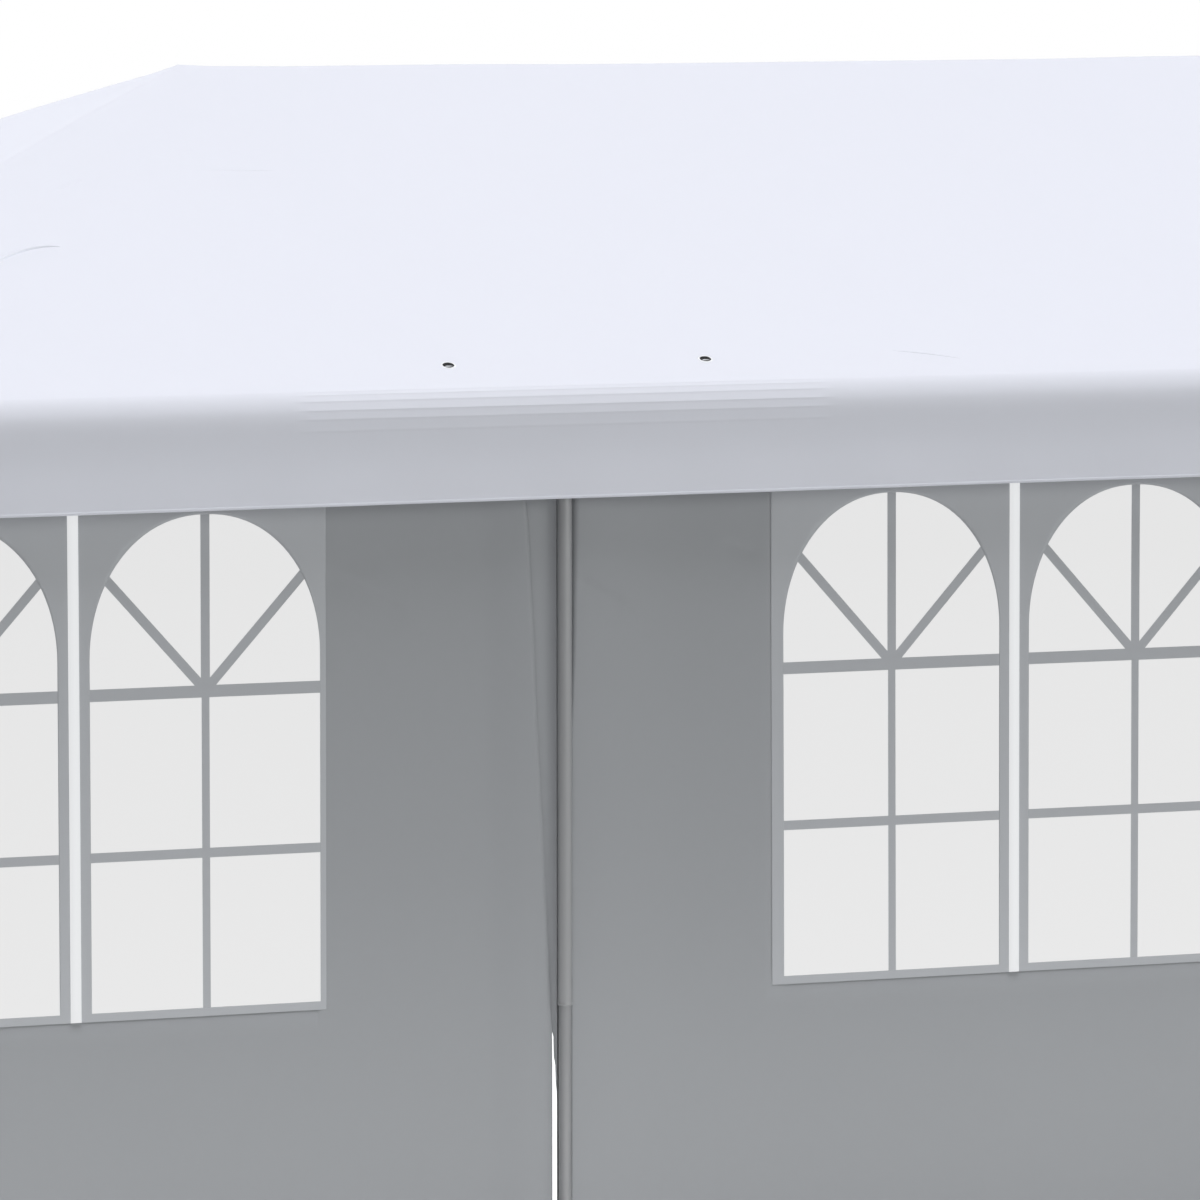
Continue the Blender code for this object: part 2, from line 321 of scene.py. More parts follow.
# Laps of the panels past and short of an inner post before their edges lean, the gap at a corner post, and
# the stretch of cloth that follows an edge
RIGHT_LAP = 0.05
LEFT_LAP = 0.04
CORNER_GAP = 0.006
RIGHT_LAP_PULL = 0.045
LEFT_LAP_PULL = (0.30, 0.26)

# Lean of each panel's windows: how far aside they hang at the height, and how much more with each metre up
LEAN = {1: (0.0029, 0.0050), 2: (0.0011, -0.0079), 3: (-0.0010, 0.0040)}
LEAN_HEIGHT = 1.25


def panel_depth(wall, across, up):
    """How proud of its flat face a side panel hangs: slow ripples that die out at the posts, and the folds.

    At an inner post the panel on the right passes behind the tube, comes forward in a lip and falls back.
    """
    held = smooth(HALF_BAY - np.abs(across), *PANEL_HELD) * smooth(WALL_TOP - up, *TOP_HELD)
    depth = PANEL_RIPPLE * ripple(across, up, wall["seed"]) * held
    for start, end, width, height in WALL_CREASES[wall["number"]]:
        depth = depth + height * crease(across, up, start, end, width)
    if wall["inner_left"]:
        beside = across + HALF_BAY
        near = 1.0 - smooth(beside, *LIP_FALL)
        depth = depth - LIP_BACK * near + LIP_HEIGHT * smooth(beside, *LIP_RISE) * near
    if wall["inner_right"]:
        depth = depth + FLAP_STEP * smooth(across, *(HALF_BAY - place for place in FLAP_STEP_PLACE))
    return depth


def end_depth(wall, across, up):
    """How proud of its flat face an end wall hangs: slow ripples, still at the corners and the top."""
    held = smooth(HALF_WIDTH - np.abs(across), *END_HELD) * smooth(WALL_TOP - up, *TOP_HELD)
    return END_RIPPLE * ripple(across * END_RIPPLE_SCALE, up, wall["seed"]) * held


def lean_on_post(wall, across, depth):
    """The depth of the cloth at its final place: left of an inner post it bends up against the tube's side.

    Behind every post it stays behind the tube's round back.
    """
    beside = np.where(across > 0, across - HALF_BAY, across + HALF_BAY)
    held = np.where(across > 0, wall["inner_right"], wall["inner_left"])
    bend = np.clip((beside + FLAP_WIDTH) / (FLAP_WIDTH - TUBE_RADIUS), 0.0, 1.0) ** FLAP_CURVE
    lean = FLAP_RISE * smooth(beside, *FLAP_RISE_PLACE) + FLAP_BEND * bend
    lean = lean * (1.0 - smooth(beside, *FLAP_END))
    behind = np.sqrt(np.maximum((TUBE_RADIUS + TUBE_CLEARANCE) ** 2 - beside ** 2, 0.0))
    return np.minimum(depth + held * lean, HALF_WIDTH - WALL_FACE - behind)


def hang_aside(wall, up):
    """How far aside the windows of a panel hang: straight, but a little out of plumb."""
    shift, slope = LEAN.get(wall.get("number"), (0.0, 0.0))
    return shift + slope * (up - LEAN_HEIGHT)


def panel_edges(wall, across, up):
    """The columns with the outermost ones moved: the edges lean, lap behind the posts and leave a slit."""
    moved = across.copy()
    if wall["inner_left"]:
        nominal = -HALF_BAY - RIGHT_LAP
        pull = 1.0 - np.clip((across - nominal) / RIGHT_LAP_PULL, 0.0, 1.0)
        moved = moved + (-HALF_BAY - np.interp(up, *RIGHT_EDGE) - nominal) * pull
        lip = np.interp(across + HALF_BAY, LIP_PLACE, [0.0, 1.0, 0.0])
        moved = moved + np.interp(up, *LIP_SHIFT) * lip
    if wall["inner_right"]:
        start, width = LEFT_LAP_PULL
        pull = np.clip((across - (HALF_BAY - start)) / width, 0.0, 1.0)
        moved = moved + (HALF_BAY - np.interp(up, *LEFT_EDGE) - (HALF_BAY - LEFT_LAP)) * pull
    return moved


def panel_reach(wall):
    """Left and right end of a side panel before its edges lean."""
    left = -HALF_BAY - RIGHT_LAP if wall["inner_left"] else -HALF_BAY + CORNER_GAP
    right = HALF_BAY - LEFT_LAP if wall["inner_right"] else HALF_BAY - CORNER_GAP
    return left, right


# Window module, measured from the bright tape in its middle, as seen from outside
FILM_LOW, FILM_HIGH = node_box("front_window_film_2")
TAPE_ACROSS = (FILM_LOW[0] + FILM_HIGH[0]) / 2 - (POST_X[1] + POST_X[2]) / 2
MODULE_LEFT = 0.5336
MODULE_RIGHT = 0.5188
MODULE_BOTTOM = 0.7395
MODULE_TOP = 1.830
WINDOW_OFFSET = 0.2698
WINDOW_HALF = 0.2370
PANE_BOTTOM = 0.757
ARCH_SPRING = 1.480
ARCH_FULLNESS = 2.15
ARCH_TOP = 1.768

# Bars and tape of the windows: widths, places, and how proud of the cloth each of them lies
BAR_OVERLAP = 0.004
MULLION_WIDTHS = (0.0162, 0.0186)
MULLION_PIECES = (30, 20)
MULLION_PROUD = 0.00055
RAILS = ((1.4075, 0.025), (1.0765, 0.020))
RAIL_PROUD = 0.00070
SPOKE_FOOT = (0.0, 1.4095)
SPOKE_HEAD = (0.206, 1.6455)
SPOKE_WIDTH = 0.0195
SPOKE_PROUD = 0.00045
HUB_UP = (1.412, 1.435)
HUB_WIDTH = 0.030
HUB_PROUD = 0.00040
HUB_PIECES = 2
TAPE_UP = (0.740, MODULE_TOP - 0.004)
TAPE_WIDTH = 0.0222
TAPE_PROUD = 0.0018
TAPE_PIECES = 30
FRAME_PROUD = 0.0008
FILM_PROUD = 0.0001
FILM_MARGIN = 0.010
FILM_POINTS = 41

# Grids of the walls: usual step, closer bands beside an inner post, and how the grid closes up at a crease
WALL_STEP = 0.045
END_STEP = 0.042
POST_BANDS = ((-0.05, 0.03, 0.0020), (-0.018, -0.008, 0.0005), (0.03, 0.12, 0.010))
FLAP_BAND = (0.18, 0.010)
EDGE_BEND_ROWS = (0.49, 0.70, 0.006)
CREASE_COLUMNS = (0.01, 0.01, 0.0055)
CREASE_ROWS = (0.02, 0.03, 0.0045)
HOLE_INSIDE = (0.014, 0.010)
WEAVE_SHIFT = 5.0

# Points round a window, and the shares of the way out to its cell at which the printed frame has its rings
SILL_STEPS = 12
SIDE_STEPS = 18
ARCH_STEPS = 48
FRAME_SHARES = np.array([0.0, 0.08, 0.3, 0.6, 0.93, 1.0])[:, None]

# Thickness of each kind of cloth
WALL_THICKNESS = 0.0010
HEM_THICKNESS = 0.0009
FRAME_THICKNESS = 0.0005
TAPE_THICKNESS = 0.0007


def wall_cloth(wall, points, grid_across, grid_up, material, keep=None):
    """The cloth of a wall from its grid of points; each wall's weave starts at another place."""
    uv_across = grid_across + WEAVE_SHIFT * wall["seed"]
    mesh = sheet_mesh(wall["name"] + "_cloth", points, uv_across, grid_up, keep)
    return piece(mesh, material, [wall["name"]], WALL_THICKNESS)


def hang_side_panel(wall, material):
    """A side panel: a grid over its bay with a hole behind the window module."""
    hole = (TAPE_ACROSS - MODULE_LEFT + HOLE_INSIDE[0], TAPE_ACROSS + MODULE_RIGHT - HOLE_INSIDE[0])
    hole_up = (MODULE_BOTTOM + HOLE_INSIDE[1], MODULE_TOP - HOLE_INSIDE[1])
    columns = [(low - HALF_BAY, high - HALF_BAY, step) for low, high, step in POST_BANDS]
    columns += [(*hole, WALL_STEP), (HALF_BAY - FLAP_BAND[0], HALF_BAY, FLAP_BAND[1])]
    rows = [(*hole_up, WALL_STEP), EDGE_BEND_ROWS]
    for start, end, _, _ in WALL_CREASES[wall["number"]]:
        columns.append((start[0] - CREASE_COLUMNS[0], end[0] + CREASE_COLUMNS[1], CREASE_COLUMNS[2]))
        rows.append((end[1] - CREASE_ROWS[0], start[1] + CREASE_ROWS[1], CREASE_ROWS[2]))
    across = stations(*panel_reach(wall), WALL_STEP, columns)
    up = stations(WALL_FOOT, WALL_TOP, WALL_STEP, rows)
    in_hole = inside(middles(across), hole)[None, :] & inside(middles(up), hole_up)[:, None]
    grid_across, grid_up = np.meshgrid(across, up)
    place = panel_edges(wall, grid_across, grid_up)
    depth = lean_on_post(wall, place, panel_depth(wall, grid_across, grid_up))
    return wall_cloth(wall, stand(wall, place, depth, grid_up), grid_across, grid_up, material, ~in_hole)


def hang_end_wall(wall, material):
    """A plain end wall that reaches from one side panel to the other."""
    across = stations(-END_REACH, END_REACH, END_STEP)
    grid_across, grid_up = np.meshgrid(across, stations(WALL_FOOT, WALL_TOP, END_STEP))
    points = stand(wall, grid_across, end_depth(wall, grid_across, grid_up), grid_up)
    return wall_cloth(wall, points, grid_across, grid_up, material)


def window_outline():
    """Round a window from its lower left corner: the sill, the right side, the arch and the left side.

    The arch is half an ellipse on the spring line, a little fuller at its shoulders.
    """
    sill = np.linspace(-WINDOW_HALF, WINDOW_HALF, SILL_STEPS + 1)[:-1]
    climb = np.linspace(PANE_BOTTOM, ARCH_SPRING, SIDE_STEPS + 1)
    side = np.full(SIDE_STEPS, WINDOW_HALF)
    turn = np.linspace(0.0, pi, ARCH_STEPS + 1)[:-1]
    arch = WINDOW_HALF * np.sign(np.cos(turn)) * np.abs(np.cos(turn)) ** (2.0 / ARCH_FULLNESS)
    arch_up = ARCH_SPRING + (ARCH_TOP - ARCH_SPRING) * np.sin(turn)
    across = np.concatenate([sill, side, arch, -side])
    up = np.concatenate([np.full(SILL_STEPS, PANE_BOTTOM), climb[:-1], arch_up, climb[:0:-1]])
    return across, up


def cell_outline(across, up, left, right):
    """The rectangle round a window, point by point for its outline.

    The straight parts go straight out to the rectangle. Each point of the arch goes out along its ray from
    the middle of the spring line until it meets a side or the top.
    """
    out_across, out_up = across.copy(), up.copy()
    out_across[:SILL_STEPS] = np.interp(across[:SILL_STEPS], [-WINDOW_HALF, WINDOW_HALF], [left, right])
    out_up[:SILL_STEPS] = MODULE_BOTTOM
    first = SILL_STEPS + SIDE_STEPS
    for side, place in ((slice(SILL_STEPS, first), right), (slice(-SIDE_STEPS, None), left)):
        out_across[side] = place
        out_up[side] = np.interp(up[side], [PANE_BOTTOM, ARCH_SPRING], [MODULE_BOTTOM, ARCH_SPRING])
    run = across[first:-SIDE_STEPS]
    rise = np.maximum(up[first:-SIDE_STEPS] - ARCH_SPRING, TINY)
    upright = np.abs(run) <= TINY
    to_side = np.where(upright, 1.0 / TINY, np.where(run >= 0, right, left) / np.where(upright, 1.0, run))
    reach = np.minimum(to_side, (MODULE_TOP - ARCH_SPRING) / rise)
    out_across[first:-SIDE_STEPS] = run * reach
    out_up[first:-SIDE_STEPS] = ARCH_SPRING + rise * reach
    return out_across, out_up


def window_name(wall, part):
    """The name of a part of a panel's windows."""
    return f"{wall['side']}_window_{part}_{wall['number']}"


def window_plates(wall, material):
    """The printed frame round both windows of a panel: rings from each arched outline out to its cell."""
    across, up = window_outline()
    grids, flat = [], []
    for way in (-1, 1):
        left = -WINDOW_OFFSET if way > 0 else WINDOW_OFFSET - MODULE_LEFT
        right = MODULE_RIGHT - WINDOW_OFFSET if way > 0 else WINDOW_OFFSET
        out_across, out_up = cell_outline(across, up, left, right)
        ring_up = up + (out_up - up) * FRAME_SHARES
        ring_across = TAPE_ACROSS + way * WINDOW_OFFSET + across + (out_across - across) * FRAME_SHARES
        ring_across = ring_across + hang_aside(wall, ring_up)
        depth = FRAME_PROUD + panel_depth(wall, ring_across, ring_up)
        grids.append(stand(wall, ring_across, depth, ring_up))
        flat.append(np.stack([ring_across, ring_up], axis=-1))
    mesh = joined_mesh(window_name(wall, "frame"), grids, flat, closed=True, flip=True)
    return piece(mesh, material, thickness=FRAME_THICKNESS)


def strip(wall, start, end, width, proud, pieces=12, crown=0.0):
    """A band from start to end on a wall, proud of the cloth; a crown makes it a half round across."""
    start, end = np.array(start, dtype=float), np.array(end, dtype=float)
    way = (end - start) / np.linalg.norm(end - start)
    aside = np.array([-way[1], way[0]])
    line = start + (end - start) * np.linspace(0.0, 1.0, pieces + 1)[:, None]
    share = np.linspace(0.5, -0.5, 7 if crown else 2)
    places = line[:, None, :] + share[None, :, None] * width * aside
    up = places[..., 1]
    across = places[..., 0] + hang_aside(wall, up)
    depth = proud + wall["depth"](wall, across, up) + crown * (1.0 - (2.0 * share) ** 2)
    return stand(wall, across, depth, up), places


def joined_strips(name, strips):
    """One mesh of several bands, each given as its points and its flat places."""
    grids, flat = zip(*strips)
    return joined_mesh(name, grids, flat, flip=True)


def window_bars(wall, material):
    """Mullion, two rails and two spokes of both windows, as flat printed bands on the film."""
    strips = []
    for way in (-1, 1):
        centre = TAPE_ACROSS + way * WINDOW_OFFSET
        stops = (PANE_BOTTOM - BAR_OVERLAP, RAILS[0][0], ARCH_TOP + BAR_OVERLAP)
        for low, high, width, pieces in zip(stops, stops[1:], MULLION_WIDTHS, MULLION_PIECES):
            strips.append(strip(wall, (centre, low), (centre, high), width, MULLION_PROUD, pieces))
        left, right = (centre + lean * (WINDOW_HALF + BAR_OVERLAP) for lean in (-1, 1))
        for height, width in RAILS:
            strips.append(strip(wall, (left, height), (right, height), width, RAIL_PROUD))
        for lean in (-1, 1):
            foot = (centre + lean * SPOKE_FOOT[0], SPOKE_FOOT[1])
            head = (centre + lean * SPOKE_HEAD[0], SPOKE_HEAD[1])
            strips.append(strip(wall, foot, head, SPOKE_WIDTH, SPOKE_PROUD))
        low, high = HUB_UP
        strips.append(strip(wall, (centre, low), (centre, high), HUB_WIDTH, HUB_PROUD, HUB_PIECES))
    return piece(joined_strips(window_name(wall, "bars"), strips), material)


def window_film(wall, material):
    """The clear film that closes both windows: one sheet behind the printed frame."""
    reach = WINDOW_OFFSET + WINDOW_HALF + FILM_MARGIN
    across = np.linspace(TAPE_ACROSS - reach, TAPE_ACROSS + reach, FILM_POINTS)
    up = np.linspace(PANE_BOTTOM - FILM_MARGIN, ARCH_TOP + 2 * FILM_MARGIN, FILM_POINTS)
    grid_across, grid_up = np.meshgrid(across, up)
    place = grid_across + hang_aside(wall, grid_up)
    points = stand(wall, place, FILM_PROUD + panel_depth(wall, place, grid_up), grid_up)
    mesh = sheet_mesh(window_name(wall, "panes"), points, grid_across, grid_up)
    return piece(mesh, material, [window_name(wall, "film")])


def window_tape(wall, material):
    """The tape over the join between the two windows; its brightness is a painted glow on a dark base."""
    low, high = TAPE_UP
    band = strip(wall, (TAPE_ACROSS, low), (TAPE_ACROSS, high), TAPE_WIDTH, TAPE_PROUD, TAPE_PIECES)
    mesh = joined_strips(window_name(wall, "tape"), [band])
    return piece(mesh, material, thickness=TAPE_THICKNESS)


# Hem along a wall's foot: heights of its rows above the foot, how proud it lies, and its closer end columns
HEM_ROWS = np.array([-0.0006, 0.002, 0.014, 0.027, 0.029])
HEM_PROUD = 0.0010
HEM_END = 0.12
HEM_END_STEP = 0.010


def foot_hem(wall, left, right, material):
    """The turned hem along a wall's foot: a doubled band of the same cloth."""
    ends = ((left, left + HEM_END, HEM_END_STEP), (right - HEM_END, right, HEM_END_STEP))
    grid_across, grid_up = np.meshgrid(stations(left, right, WALL_STEP, ends), WALL_FOOT + HEM_ROWS)
    place = grid_across
    depth = HEM_PROUD + wall["depth"](wall, grid_across, grid_up)
    if "side" in wall:
        place = panel_edges(wall, grid_across, grid_up)
        depth = lean_on_post(wall, place, depth)
    mesh = sheet_mesh(wall["name"] + "_hem", stand(wall, place, depth, grid_up), grid_across, grid_up)
    return piece(mesh, material, thickness=HEM_THICKNESS)


# Zips of an end wall: place, ends, and each band as lower end, upper end, width, proud, pieces and crown
ZIP_ACROSS = 0.62
ZIP_BOTTOM = 0.030
ZIP_TOP = 1.930
ZIP_BANDS = {
    "tapes": ((ZIP_BOTTOM, ZIP_TOP, 0.032, 0.0012, 60),),
    "teeth": ((ZIP_BOTTOM, ZIP_TOP, 0.0060, 0.0012, 60, 0.0016),),
    "sliders": ((ZIP_BOTTOM + 0.012, ZIP_BOTTOM + 0.036, 0.013, 0.0030, 6, 0.0020),
                (ZIP_BOTTOM - 0.004, ZIP_BOTTOM + 0.024, 0.007, 0.0058, 6, 0.0006)),
}


def end_zips(wall, tape, metal):
    """The two zips of an end wall: woven tapes, the closed row of teeth, and a slider with its pull."""
    zips = []
    parts = (("tapes", tape, "wall_cloth", 0.0005), ("teeth", tape, "wall_cloth", 0.0),
             ("sliders", metal, "steel_connector", 0.0012))
    for part, material, slot, thickness in parts:
        bands = [strip(wall, (across, low), (across, high), *section)
                 for across in (-ZIP_ACROSS, ZIP_ACROSS) for low, high, *section in ZIP_BANDS[part]]
        mesh = joined_strips(wall["name"].replace("_wall", f"_zip_{part}"), bands)
        zips.append(piece(mesh, material, thickness=thickness))
    return zips


# Turned forms of a leg as (radius, height): lower tube on its foot plate, upper tube with its lip, button
LEG_TOP = node_box("front_leg_1")[1][2]
FOOT_RADIUS = node_box("front_leg_1")[1][0] - POST_X[0]
LOWER_RADIUS = 0.0135
JOINT_Z = 0.726
BUTTON_Z = JOINT_Z + 0.036
BUTTON_SUNK = 0.0004
TUBE_SIDES = 40
BUTTON_SIDES = 20
LOWER_TUBE = (
    (0.0002, 0.0), (FOOT_RADIUS - 0.0015, 0.0), (FOOT_RADIUS, 0.0010), (FOOT_RADIUS, 0.0030),
    (FOOT_RADIUS - 0.0012, 0.0040), (0.0180, 0.0042), (0.0150, 0.0052), (0.0138, 0.0080),
    (LOWER_RADIUS, 0.0110), (LOWER_RADIUS, 0.0150), (LOWER_RADIUS, JOINT_Z - 0.0040),
    (LOWER_RADIUS, JOINT_Z + 0.0020))
UPPER_TUBE = (
    (LOWER_RADIUS - 0.0004, JOINT_Z + 0.0004), (0.0148, JOINT_Z - 0.0004), (0.0157, JOINT_Z + 0.0006),
    (0.0160, JOINT_Z + 0.0022), (0.0157, JOINT_Z + 0.0042), (TUBE_RADIUS, JOINT_Z + 0.0060),
    (TUBE_RADIUS, JOINT_Z + 0.0100), (TUBE_RADIUS, LEG_TOP - 0.0040), (TUBE_RADIUS, LEG_TOP - 0.0005),
    (TUBE_RADIUS - 0.0005, LEG_TOP), (0.0002, LEG_TOP))
BUTTON = ((0.0046, 0.0), (0.0046, 0.0016), (0.0038, 0.0028), (0.0022, 0.0035), (0.0002, 0.0037))


def build_legs(upper_material, lower_material):
    """The eight legs; the buttons of the corner legs face the ends, and those between face inward."""
    upright = (0.0, 0.0, 1.0)
    for side_name, side in SIDES.items():
        for number, x in enumerate(POST_X, start=1):
            name = f"{side_name}_leg_{number}"
            foot = np.array([x, side * HALF_WIDTH, 0.0])
            way = np.array([np.sign(x), 0.0, 0.0] if number in (1, 4) else [0.0, -side, 0.0])
            button = foot + np.array([0.0, 0.0, BUTTON_Z]) + way * (TUBE_RADIUS - BUTTON_SUNK)
            upper = [turned(UPPER_TUBE, foot, upright, TUBE_SIDES),
                     turned(BUTTON, button, way, BUTTON_SIDES)]
            piece(joined_mesh(name + "_upper", upper, closed=True), upper_material, [name])
            lower = [turned(LOWER_TUBE, foot, upright, TUBE_SIDES)]
            piece(joined_mesh(name + "_lower", lower, closed=True), lower_material)


# Roof cloth in section at the eave: length along the cloth, and the angle that it faces above level
CLOTH_START = (-0.001, 2.0117)
CLOTH_LENGTHS = (0.0, 0.004, 0.010, 0.0205, 0.038, 0.056, 0.0745, 0.0955, 0.1255, 0.1655, 0.30)
CLOTH_FACING = (64.0, 53.0, 48.0, 37.0, 24.0, 8.5, -1.0, -5.0, -2.0, 4.0, 4.5)
SECTION_STEPS = 1200
SECTION_SMOOTHING = 24
EAVE_ROWS = (0.0, 0.100, 0.0030)
EAVE_STEP = 0.010
RIDGE_CLOTH_Z = RIDGE_Z + 0.0207
SLOPE_RUN = HALF_WIDTH + CLOTH_START[0]
SLOPE_CLIMB = RIDGE_CLOTH_Z - CLOTH_START[1]
SLOPE_STEP = 0.030
SLOPE_ROWS = ((0.04, 0.16, 0.0060), (0.52, 0.66, 0.0070), (0.86, 0.99, 0.0080), (1.42, 1.50, 0.012))

# Streaks along the front eave: places along the cloth, how proud they stand, and where they start and end
STREAKS = (0.0010, 0.0110, 0.0265, 0.0460, 0.0640, 0.0850)
STREAK_RISE = 0.0004
STREAK_FALL = 0.0040
STREAK_SHARPNESS = 0.0006
STREAK_FOOT = 0.001
STREAK_RANGE = (-1.547, -0.443)

# Columns round the cover: directions of its four sides in turn, closer columns on the front, and steps
SIDE_ALONG = np.array([(1, 0), (0, 1), (-1, 0), (0, -1)])
FRONT_STEP = 0.020
FRONT_BAND = (-0.78, 0.18, 0.0052)
BACK_POINTS = 91
END_POINTS = 45
CORNER_POINTS = 8
SIDE_APART = 10.0
WELD_DISTANCE = 0.0002

# Corners of the cover: radius near the hips and at the valance, between the two places out
HIP_CORNER = 0.012
VALANCE_CORNER = 0.045
CORNER_OUT = (0.015, 0.029)

# Relief of the slopes: sag, dips and rises, with how wide each spreads
SAG = 0.008
RIDGE_DIP = 0.0032
RIDGE_DIP_WIDTH = 0.10
FITTING_REACH = (0.12, 0.50)
RIDGE_END_RISE = 0.0020
RIDGE_END_REACH = (0.03, 0.34)
RIDGE_PEAK_RISE = 0.0045
RIDGE_PEAK_WIDTH = 0.045
HIP_RISE = 0.0098
HIP_WIDTH = 0.12
CORNER_LIFT = 0.018
CORNER_LIFT_WIDTH = 0.06
CORNER_LIFT_OUT = (0.018, 0.028)
SLOPE_RIPPLE = 0.0012
SLOPE_RIPPLE_SCALE = (1.3, 1.7)
SLOPE_RIPPLE_SEED = 2
SLOPE_RIPPLE_IN = (0.02, 0.2)
SLOPE_RIPPLE_OUT = (0.85, 1.0)

# Relief of the valance: where it comes in below the eave and beside a corner, and its waves: height, rate
# along the side, and seed or phase
VALANCE_DROP = (0.05, 0.20)
VALANCE_BESIDE = (0.04, 0.40)
VALANCE_RIPPLE = (0.0022, 2.1, 5)
VALANCE_FLUTTER = (0.0012, 21.0, 1.0)
VALANCE_SWING = (0.0045, 0.65, 0.85)


def eave_section():
    """The roof cloth in section, from the slope over the eave to the hem: how far out, and how high.

    The facing angle follows the length along the cloth, smoothed, and out and height are the running sums
    of its tangent.
    """
    length = np.linspace(0.0, CLOTH_LENGTHS[-1], SECTION_STEPS + 1)
    step = length[1] - length[0]
    facing = np.interp(length, CLOTH_LENGTHS, np.radians(CLOTH_FACING))
    window = np.hanning(2 * SECTION_SMOOTHING + 1)
    padded = np.pad(facing, SECTION_SMOOTHING, mode="edge")
    facing = np.convolve(padded, window / window.sum(), mode="valid")
    out = CLOTH_START[0] + np.cumsum(np.sin(facing)) * step
    height = CLOTH_START[1] - np.cumsum(np.cos(facing)) * step
    hem = np.interp(-HEM_Z, -height, length)
    bands = [(streak - STREAK_SHARPNESS, streak + STREAK_SHARPNESS, STREAK_SHARPNESS) for streak in STREAKS]
    feet = [streak + STREAK_FALL for streak in STREAKS]
    bands += [(foot, foot + STREAK_FOOT, STREAK_FOOT) for foot in feet]
    rows = stations(0.0, hem, EAVE_STEP, [EAVE_ROWS, *bands])
    return rows, np.interp(rows, length, out), np.interp(rows, length, height)


def faceted(rows, values, rise=0.0):
    """Values with straight stretches between the streaks in place of the smooth round of the eave.

    Each streak but the lowest stands proud by the rise, and the cloth falls back to its straight below it.
    """
    streaks = np.array(STREAKS)
    stops = np.array([0.0, *STREAKS, rows[-1]])
    knots = np.sort(np.concatenate([stops, streaks + STREAK_FALL]))
    at_knots = np.interp(knots, stops, np.interp(stops, rows, values)) + rise * np.isin(knots, streaks[:-1])
    streaked = (rows >= STREAKS[0] - STREAK_FALL) & (rows <= STREAKS[-1] + STREAK_FALL)
    return np.where(streaked, np.interp(rows, knots, at_knots), values)


def ring_columns():
    """Columns round the cover: each one's place on a square with corners at 1, its direction and its side.

    A column stands at (place * straight half + outward * corner radius), for straights and corners alike.
    """
    end_places = np.linspace(-1.0, 1.0, END_POINTS)
    straights = (stations(-1.0, 1.0, FRONT_STEP, [FRONT_BAND]), end_places,
                 np.linspace(-1.0, 1.0, BACK_POINTS), end_places)
    turn = np.linspace(0.0, pi / 2, CORNER_POINTS)[1:-1]
    place, outward, side = [], [], []
    for number, (values, along) in enumerate(zip(straights, SIDE_ALONG)):
        facing = np.array([along[1], -along[0]])
        place += [values[:, None] * along + facing, np.repeat([along + facing], len(turn), axis=0)]
        outward += [np.repeat([facing], len(values), axis=0),
                    np.cos(turn)[:, None] * facing + np.sin(turn)[:, None] * along]
        side += [np.full(len(values), number), np.where(turn < pi / 4, number, (number + 1) % 4)]
    return np.concatenate(place), np.concatenate(outward), np.concatenate(side)


def slope_relief(x, y, out, long_side):
    """How far the slopes lie off their flat planes, as a sum of soft forms.

    They sag between the rafters by a squared sine, dip along the ridge between its fittings, rise over the
    ridge's ends and along the hips, ripple slightly, and are lifted over the corner connectors.
    """
    climb = np.clip(-out / HALF_WIDTH, 0.0, 1.0)
    run = np.where(long_side, np.abs(x), np.abs(y))
    inner = np.where(long_side, HALF_BAY, 0.0)
    hip = np.where(long_side, HALF_LENGTH - climb * HALF_WIDTH, HALF_WIDTH * (1.0 - climb))
    between = np.where(run < inner, (run + inner) / np.maximum(2 * inner, TINY),
                       (run - inner) / np.maximum(hip - inner, NARROW))
    between = np.where(long_side, between, 0.5 + 0.5 * run / np.maximum(hip, NARROW))
    relief = -SAG * np.sin(pi * np.clip(between, 0.0, 1.0)) ** 2 * np.sin(pi * climb)
    fittings = (-RIDGE_END, POST_X[1], POST_X[2], RIDGE_END)
    to_fitting = np.min([np.abs(x - place) for place in fittings], axis=0)
    over_ridge = hump((1.0 - climb) * HALF_WIDTH, RIDGE_DIP_WIDTH)
    relief = relief - RIDGE_DIP * over_ridge * smooth(to_fitting, *FITTING_REACH)
    to_end = np.hypot(np.abs(x) - RIDGE_END, y)
    relief = relief + RIDGE_END_RISE * (1.0 - smooth(to_end, *RIDGE_END_REACH))
    relief = relief + RIDGE_PEAK_RISE * hump(to_end, RIDGE_PEAK_WIDTH)
    open_slope = smooth(climb, *SLOPE_RIPPLE_IN) * (1.0 - smooth(climb, *SLOPE_RIPPLE_OUT))
    waves = ripple(x * SLOPE_RIPPLE_SCALE[0], y * SLOPE_RIPPLE_SCALE[1], SLOPE_RIPPLE_SEED)
    relief = relief + SLOPE_RIPPLE * waves * open_slope
    relief = relief + HIP_RISE * hump(hip - run, HIP_WIDTH) * np.sin(pi * climb ** 3)
    to_post = np.hypot(np.abs(x) - HALF_LENGTH, np.abs(y) - HALF_WIDTH)
    return relief + CORNER_LIFT * hump(to_post, CORNER_LIFT_WIDTH) * (1.0 - smooth(out, *CORNER_LIFT_OUT))


def valance_relief(x, y, z, long_side):
    """How far the valance stands out, and how far up: waves towards its hem, still at the corners."""
    around = np.where(long_side, x, y)
    to_corner = np.where(long_side, HALF_LENGTH, HALF_WIDTH) - np.abs(around)
    drop = smooth(EAVE_Z - z, *VALANCE_DROP) * smooth(to_corner, *VALANCE_BESIDE)
    height, rate, seed = VALANCE_RIPPLE
    waves = height * ripple(around * rate, 0.0, seed)
    height, rate, phase = VALANCE_FLUTTER
    waves = waves + height * np.sin(rate * around + phase) * drop
    height, rate, phase = VALANCE_SWING
    return drop * waves, height * np.sin(rate * (around + phase)) * drop


